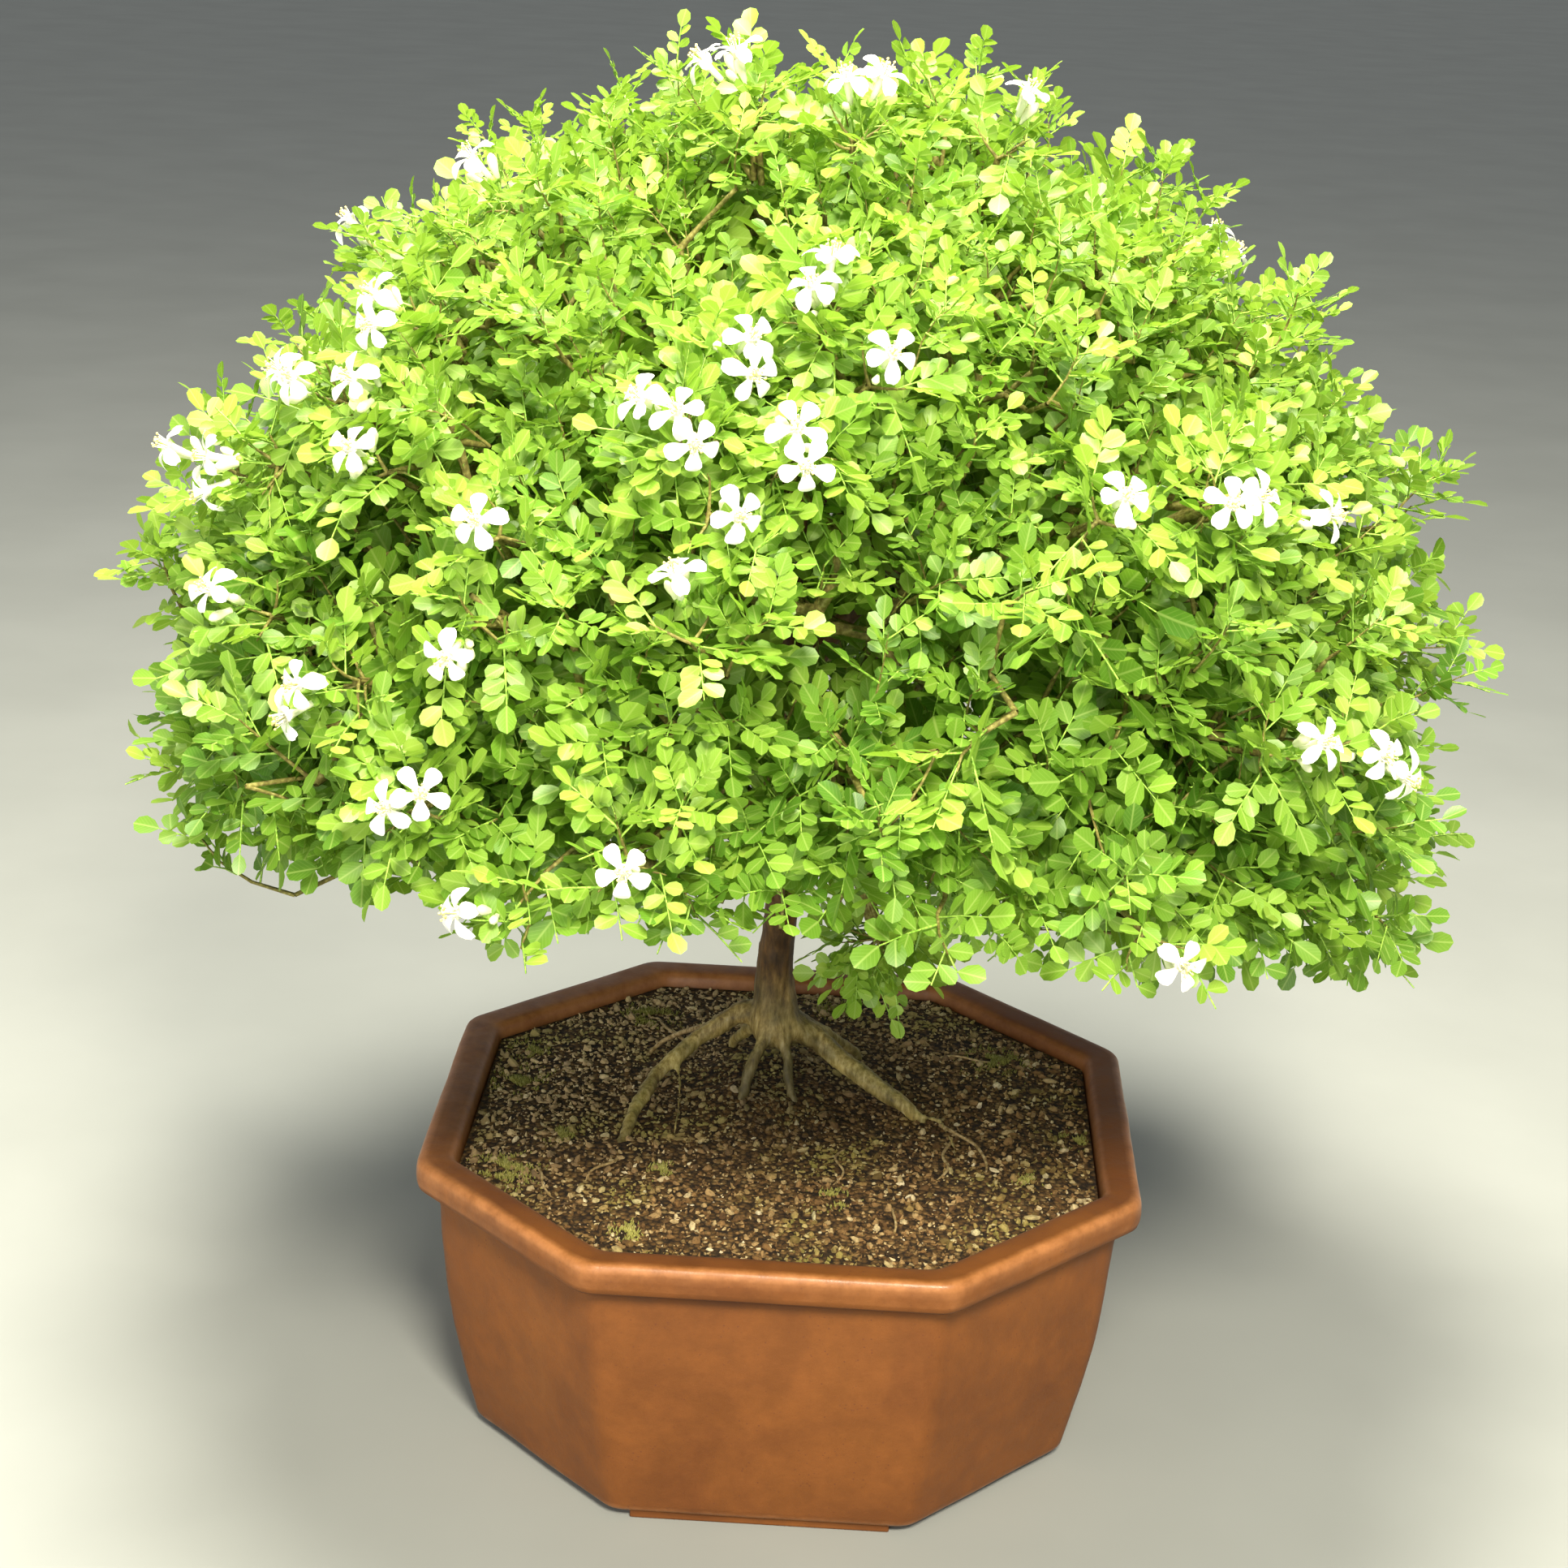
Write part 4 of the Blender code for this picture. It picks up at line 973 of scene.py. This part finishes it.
def spread_shoots(draw, tries, spacing, inset, inset_range, leaves, size, blade):
    """Shoots spaced evenly under the outline, at a depth."""
    taken = np.empty((0, 3))
    made = []
    for _ in range(tries):
        rise = draw.uniform(-1, 1)
        turn = draw.uniform(0, math.tau)
        flat = math.sqrt(1 - rise * rise)
        direction = Vector((flat * math.cos(turn), flat * math.sin(turn), rise))
        edge = CROWN + direction * crown_reach(direction)
        under = direction.z < 0 and math.hypot(edge.x - CROWN.x, edge.y - CROWN.y) < 190 * MM
        # Towards the top the light is strong: leaves are small there, and shoots stand closer.
        high = clamped((edge.z - 0.35) / 0.19) if blade == "full" else 0
        apart = spacing * (1.5 if under else 1 - 0.27 * high)
        if len(taken) and np.linalg.norm(taken - np.array(edge), axis=1).min() < apart:
            continue
        taken = np.vstack([taken, np.array(edge)])
        if under and math.hypot(edge.x - CROWN.x, edge.y - CROWN.y) < 55 * MM:
            continue
        face = crown_face(edge - direction * 5 * MM)
        random_way = scatter(draw, 1) * 0.26
        way = face * 0.85 + Vector((0, 0, 0.38)) + random_way
        if under:
            outward = Vector((direction.x, direction.y, 0)).normalized()
            way = face * 0.35 + outward * 0.7 + random_way
        way.normalize()
        length = draw.uniform(30, 44) * MM * (1 - 0.25 * high)
        open_air = blade == "full" and not under
        reaching = open_air and draw.random() < 0.13
        beside = 4 * MM * max(0, 1 - abs(direction.z) * 2)
        hollow = max(0, noise(edge * 15) - 0.1) * 45 * MM if open_air else 0
        depth = 7 * MM if reaching else inset + beside + hollow + draw.uniform(0, inset_range)
        tip = edge - face * depth
        by_height = 0.9 - 0.26 * high
        # The youth share paints light as well as age: it rises towards the top of the crown, a painted
        # light, and falls in its hollows and low at the left, a painted shade.
        youth_and_light = 0.27 + 1.75 * (edge.z - 0.3) + draw.gauss(0, 0.17) + 0.3 * noise(edge * 13)
        youth_and_light -= 14 * hollow + 0.35 * max(0, 1 - (edge - Vector((-0.22, -0.14, 0.29))).length / 0.17)
        made.append(Shoot(
            tip - way * length, way, length, size * by_height * draw.uniform(0.86, 1.12),
            leaves + draw.choice((-1, 0, 0, 1)), clamped(youth_and_light), face,
            (14 if reaching else 3) * MM,
            "small" if high > 0.15 else blade,
        ))
    return made


draw = random.Random(23)
shoots = spread_shoots(draw, 32000, 24.4 * MM, 22 * MM, 18 * MM, 7, 0.88, "full")
shoots += spread_shoots(draw, 6000, 34 * MM, 58 * MM, 24 * MM, 6, 1.1, "small")
shoots += spread_shoots(draw, 3000, 58 * MM, 104 * MM, 30 * MM, 6, 1.35, "plain")
for spot in SHOOT_TIPS:
    tip = Vector(spot) * MM
    out = (tip - CROWN).normalized()
    way = (out + Vector((0, 0, 0.5)) + scatter(draw, 0.15)).normalized()
    foot = tip - way * 75 * MM - out * 3 * MM
    shoots.append(Shoot(foot, way, 62 * MM, 0.78, 11, 0.9, out, 30 * MM, "full"))
# The sprig's leaves get the full youth share, painted light where the crown shades them.
sprig_middle = Vector((38, -46, 237)) * MM
for i in range(11):
    turn = math.tau * i / 11
    way = heading(turn, draw.uniform(-0.9, 0.5)).normalized()
    foot = sprig_middle + way * 2 * MM
    shoots.append(Shoot(foot, way, 16 * MM, 0.66, 5, 1, way, 900 * MM, "full"))
for foot, axis in blooms:
    turn = axis.orthogonal().normalized()
    for k in range(3):
        turn.rotate(Matrix.Rotation(2.1, 3, axis))
        way = (turn * 0.9 + axis * 0.55).normalized()
        start = foot - axis * 16 * MM
        shoots.append(Shoot(start, way, 16 * MM, 0.8, 3, 0.75, axis, 8 * MM, "full"))


def owner_of(point):
    """The leafy branch whose middle is nearest to a point."""
    return min(BRANCH_MIDDLES, key=lambda n: (Vector(BRANCH_MIDDLES[n]) * MM - point).length)


# Twigs: each shoot joins the nearest wood, limbs first, so that twigs fork again and again.
limb_points = [
    tucked(raised_limb(v.co)) for v in solids["trunk_roots_and_limbs"].data.vertices
    if v.co.z > BARE_WOOD
]
for vertex in wood.data.vertices:
    if vertex.co.z > BARE_WOOD:
        vertex.co = tucked(vertex.co)
knots = np.array([tuple(p) for p in limb_points])
parents = [-1] * len(knots)
owners = [None] * len(knots)
near_wood = KDTree(len(limb_points))
for i, p in enumerate(limb_points):
    near_wood.insert(p, i)
near_wood.balance()
shoots.sort(key=lambda s: near_wood.find(s.foot)[2])
weights = [0.0] * len(knots)
knot_list = list(limb_points)
for shoot in shoots:
    shoot.owner = owner_of(shoot.foot + shoot.way * shoot.length)
    foot = np.array(shoot.foot)
    gaps = np.linalg.norm(knots - foot, axis=1)
    start = int(gaps.argmin())
    steps = max(2, int(gaps[start] / (13 * MM)))
    begin = knot_list[start]
    sag = scatter(draw, 1) * gaps[start] * 0.06
    sag -= shoot.way * gaps[start] * 0.12
    last = start
    new = []
    for k in range(1, steps + 1):
        t = k / steps
        point = begin.lerp(shoot.foot, t) + sag * 4 * t * (1 - t)
        if k < steps:
            point = tucked(point)
        new.append(tuple(point))
        knot_list.append(point)
        parents.append(last)
        owners.append(shoot.owner)
        weights.append(0.0)
        last = len(knot_list) - 1
    knots = np.vstack([knots, np.array(new)])
    weights[last] += 1
for i in range(len(knot_list) - 1, -1, -1):
    if parents[i] >= 0:
        weights[parents[i]] += weights[i]

leaf_points = [(0, 0)]
for t, half in ((0.26, 0.35), (0.6, 0.5), (0.87, 0.36)):
    leaf_points += [(t, -half), (t, 0), (t, half)]
leaf_points.append((1, 0))
leaf_faces = [(0, 2, 1), (0, 3, 2)]
for k in (1, 2, 4, 5):
    leaf_faces += [(k, k + 1, k + 4), (k, k + 4, k + 3)]
leaf_faces += [(7, 8, 10), (8, 9, 10)]
rim_points = [(0, 0), (0.22, -0.3), (0.55, -0.49), (0.86, -0.36), (1, 0), (0.86, 0.36),
              (0.55, 0.49), (0.22, 0.3)]
LEAF_SHAPES = {
    "full": (np.array(leaf_points), np.array(leaf_faces)),
    "small": (
        np.array([*rim_points, (0.52, 0)]), np.array([((k + 1) % 8, k, 8) for k in range(8)]),
    ),
    "plain": (
        np.array([(0, 0), (0.4, -0.42), (0.45, 0), (0.4, 0.42), (0.85, -0.38), (0.85, 0.38),
                  (1, 0)]),
        np.array([(0, 2, 1), (0, 3, 2), (1, 2, 4), (2, 3, 5), (2, 6, 4), (2, 5, 6)]),
    ),
}


class Foliage:
    """What one leafy branch carries: leaflets as rows of numbers, and stems as small tubes."""

    def __init__(self):
        self.leaflets = {"full": [], "small": [], "plain": []}
        self.stem_points = []
        self.stem_faces = []
        self.stem_kinds = []

    def stem(self, start, end, thick, thin, sides, kind):
        along = (end - start).normalized()
        across = along.orthogonal().normalized()
        other = along.cross(across)
        first = len(self.stem_points)
        for point, radius in ((start, thick), (end, thin)):
            for k in range(sides):
                turn = math.tau * k / sides
                ring = across * math.cos(turn) + other * math.sin(turn)
                self.stem_points.append(tuple(point + ring * radius))
        for k in range(sides):
            j = (k + 1) % sides
            a, b, c, d = first + k, first + j, first + sides + j, first + sides + k
            self.stem_faces += [(a, b, c), (a, c, d)]
        self.stem_kinds += [kind] * (2 * sides)


foliage = {name: Foliage() for name in BRANCH_MIDDLES}
view_from = camera.matrix_world.translation


def hides_bloom(point):
    """Whether a leaflet here would cover a bloom, seen from outside or by the camera."""
    for foot, axis in blooms:
        face = foot + axis * TUBE_LENGTH
        off = point - face
        if off.length > 60 * MM:
            continue
        out = off.dot(axis)
        if out > -5 * MM and (off - axis * out).length < 13 * MM:
            return True
        toward = (view_from - face).normalized()
        if toward.dot(axis) > 0:
            out = off.dot(toward)
            if out > 0 and (off - toward * out).length < 12 * MM:
                return True
    return False


def grow_leaf(carrier, start, way, face, shoot, size, youth_and_light, draw):
    """A compound leaf: an arching rib with leaflets set alternately, and one at its end."""
    length = draw.uniform(27, 36) * MM * size
    side = way.cross(face).normalized()
    count = draw.choice((4, 5, 5, 6))
    places = [0.26 + 0.68 * (k + draw.uniform(-0.15, 0.15)) / count for k in range(count)]
    bend = draw.uniform(0.12, 0.4)

    def on_rib(t):
        return start + way * length * t - Vector((0, 0, 1)) * length * bend * t * t * 0.5

    rib = [on_rib(t) for t in (0, 0.5, 1)]
    grown = 0
    reached = 0
    tone = draw.random()
    for k, t in enumerate([*places, 1.0]):
        foot = on_rib(t)
        last = k == count
        swing = math.radians(draw.gauss(0, 10) if last else draw.uniform(42, 68))
        sign = 1 if k % 2 else -1
        along = way * math.cos(swing) + side * sign * math.sin(swing)
        long = draw.uniform(12.2, 15.4) * MM * size * (1.12 if last else 0.8 + 0.24 * t)
        looking = (face + scatter(draw, 0.3)).normalized()
        across = looking.cross(along).normalized()
        up = along.cross(across).normalized()
        middle = foot + along * long * 0.5
        if depth_in_crown(foot + along * long) < -shoot.stand_out or hides_bloom(middle):
            continue
        grown += 1
        reached = t
        wide = long * draw.uniform(0.66, 0.8)
        carrier.leaflets[shoot.blade].append((
            *foot, *along, *across, *up, long, wide, draw.uniform(0.08, 0.3),
            draw.uniform(-0.05, 0.3), clamped(0.55 * tone + 0.45 * draw.random()), youth_and_light,
        ))
    if grown < 2:
        return
    if shoot.blade == "full" and reached > 0.6:
        carrier.stem(rib[0], rib[1], 0.55 * MM, 0.42 * MM, 3, 1)
        carrier.stem(rib[1], rib[2], 0.42 * MM, 0.3 * MM, 3, 1)
    else:
        carrier.stem(rib[0], rib[0].lerp(rib[2], reached), 0.5 * MM, 0.35 * MM, 3, 1)


draw = random.Random(41)
for shoot in shoots:
    carrier = foliage[shoot.owner]
    bow = scatter(draw, 1) * 0.06 * shoot.length
    route = [
        shoot.foot + shoot.way * shoot.length * t + bow * 4 * t * (1 - t) for t in (0, 0.35, 0.7, 1)
    ]
    for k in range(3):
        thick = (1.15 - 0.25 * k) * MM * shoot.size
        carrier.stem(route[k], route[k + 1], thick, thick - 0.25 * MM, 4, 2)
    turn = draw.uniform(0, math.tau)
    flat = shoot.way.orthogonal().normalized()
    other = shoot.way.cross(flat)
    for k in range(shoot.leaves):
        t = 0.22 + 0.78 * (k + 0.5) / shoot.leaves
        turn += GOLDEN_TURN
        open_angle = math.radians(72 - 38 * t + draw.uniform(-8, 8))
        ring = flat * math.cos(turn) + other * math.sin(turn)
        way = shoot.way * math.cos(open_angle) + ring * math.sin(open_angle)
        light = Vector((0, 0, 0.75)) + shoot.open_face * 0.55 + shoot.way * 0.2
        light += scatter(draw, 0.2)
        face = (light - way * light.dot(way)).normalized()
        age = 1 - 0.22 * t
        youth_and_light = clamped(shoot.youth_and_light * 0.75 + 0.35 * (t - 0.5))
        start = shoot.foot + shoot.way * shoot.length * t + bow * 4 * t * (1 - t)
        grow_leaf(carrier, start, way, face, shoot, shoot.size * age, youth_and_light, draw)
for i, parent in enumerate(parents):
    if parent >= 0 and owners[i]:
        thick = min(2.6, 0.95 * max(weights[parent], 1) ** 0.3) * MM
        thin = min(2.4, 0.95 * max(weights[i], 1) ** 0.3) * MM
        if parents[parent] < 0:
            thick = thin * 1.1
        foliage[owners[i]].stem(knot_list[parent], knot_list[i], thick, thin, 5, 2)

# Living leaf: a thin glossy skin over yellow-green tissue that lets light through, with a pale
# midrib and faint side veins. Young leaves are yellower and old ones a deeper green, and the same
# share paints light: yellower towards the top of the crown, and a deeper green as painted shade in
# its hollows and low at the left.
leaf, _ = new_material("Orange jasmine leaf")
across_leaf = add(leaf, "UVMap", {"uv_map": "leaflet"}).outputs["UV"]
spot = add(leaf, "SeparateXYZ", {"Vector": across_leaf})
from_rib = reckon(leaf, "ABSOLUTE", reckon(leaf, "SUBTRACT", spot.outputs["X"], 0.5))
rib_share = rescaled(leaf, from_rib, 0.015, 0.06, 0.34, 0)
slanted = reckon(leaf, "MULTIPLY_ADD", from_rib, -0.9, spot.outputs["Y"])
vein_wave = reckon(leaf, "SINE", reckon(leaf, "MULTIPLY", slanted, 40))
vein = reckon(leaf, "MAXIMUM", rib_share, rescaled(leaf, vein_wave, 0.7, 1, 0, 0.13))
tone = stored(leaf, "tone")
old_and_shaded_leaf = ramp(leaf, tone, (0, "#3D6B1A"), (0.4, "#528123"), (0.8, "#6E9A2F"), (1, "#88AD3A"))
young_and_lit_leaf = ramp(leaf, tone, (0, "#7BA42E"), (0.4, "#90B63C"), (0.8, "#A4C44A"), (1, "#B4CD58"))
# Mixing by the youth share gives painted light at the top of the crown and painted shade in its hollows
# and low at the left, as well as young and old leaves.
aged = tinted(leaf, stored(leaf, "youth_and_light"), old_and_shaded_leaf, young_and_lit_leaf)
veined = tinted(leaf, vein, aged, "#C6DA7C")
finished(leaf, veined, 0.4, 1.45, None, (0.36, tinted(leaf, 0.45, veined, "#A9CE34")))

# Twig bark: thin, green-brown and dull, with pale flecks.
flecks = ((0.35, "#5A5222"), (0.55, "#7A7434"), (0.75, "#A09A5C"))
twig_bark = grained("Green-brown twig bark", 600, 3, flecks, 0.75, 1.45, 0.4, 0.2)

for name, carrier in foliage.items():
    points, faces, kinds, uvs, tones, youth_and_light_values = [], [], [], [], [], []
    count = 0
    for blade, rows in carrier.leaflets.items():
        if not rows:
            continue
        shape, sides = LEAF_SHAPES[blade]
        rows = np.array(rows)[:, None]
        foot, along, across, up = (rows[..., 3 * k:3 * k + 3] for k in range(4))
        long, wide, fold, curl, tone, youth_and_light = (rows[..., 12 + k, None] for k in range(6))
        t, side = shape[None, :, :1], shape[None, :, 1:]
        height = fold * wide * 0.5 * (2 * abs(side)) ** 1.3 - curl * long * t ** 2 * 0.5
        points_of_all = foot + along * long * t + across * wide * side + up * height
        number, corners = len(rows), len(shape)
        points.append(points_of_all.reshape(-1, 3))
        starts = count + np.arange(number) * corners
        faces.append((sides[None] + starts[:, None, None]).reshape(-1, 3))
        kinds += [0] * (number * len(sides))
        uvs.append(np.tile(shape[:, ::-1] + (0.5, 0), (number, 1)))
        tones.append(np.repeat(tone.ravel(), corners))
        youth_and_light_values.append(np.repeat(youth_and_light.ravel(), corners))
        count += number * corners
    stems = len(carrier.stem_points)
    points.append(np.array(carrier.stem_points))
    faces.append(np.array(carrier.stem_faces) + count)
    kinds += carrier.stem_kinds
    uvs.append(np.full((stems, 2), 0.25))
    tones.append(np.full(stems, 0.5))
    youth_and_light_values.append(np.full(stems, 0.5))
    faces = np.concatenate(faces)
    piece = mesh_piece(
        name.replace("leafy", "leaves_of"), np.concatenate(points), faces.tolist(),
        [leaf, stalk_finish, twig_bark],
        {"tone": np.concatenate(tones), "youth_and_light": np.concatenate(youth_and_light_values)},
    )
    piece.data.polygons.foreach_set("material_index", kinds)
    layer = piece.data.uv_layers.new(name="leaflet")
    corner_uvs = np.concatenate(uvs)[faces.ravel()]
    layer.data.foreach_set("uv", corner_uvs.astype(np.float32).ravel())
    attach(piece, "root")
    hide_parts(name)
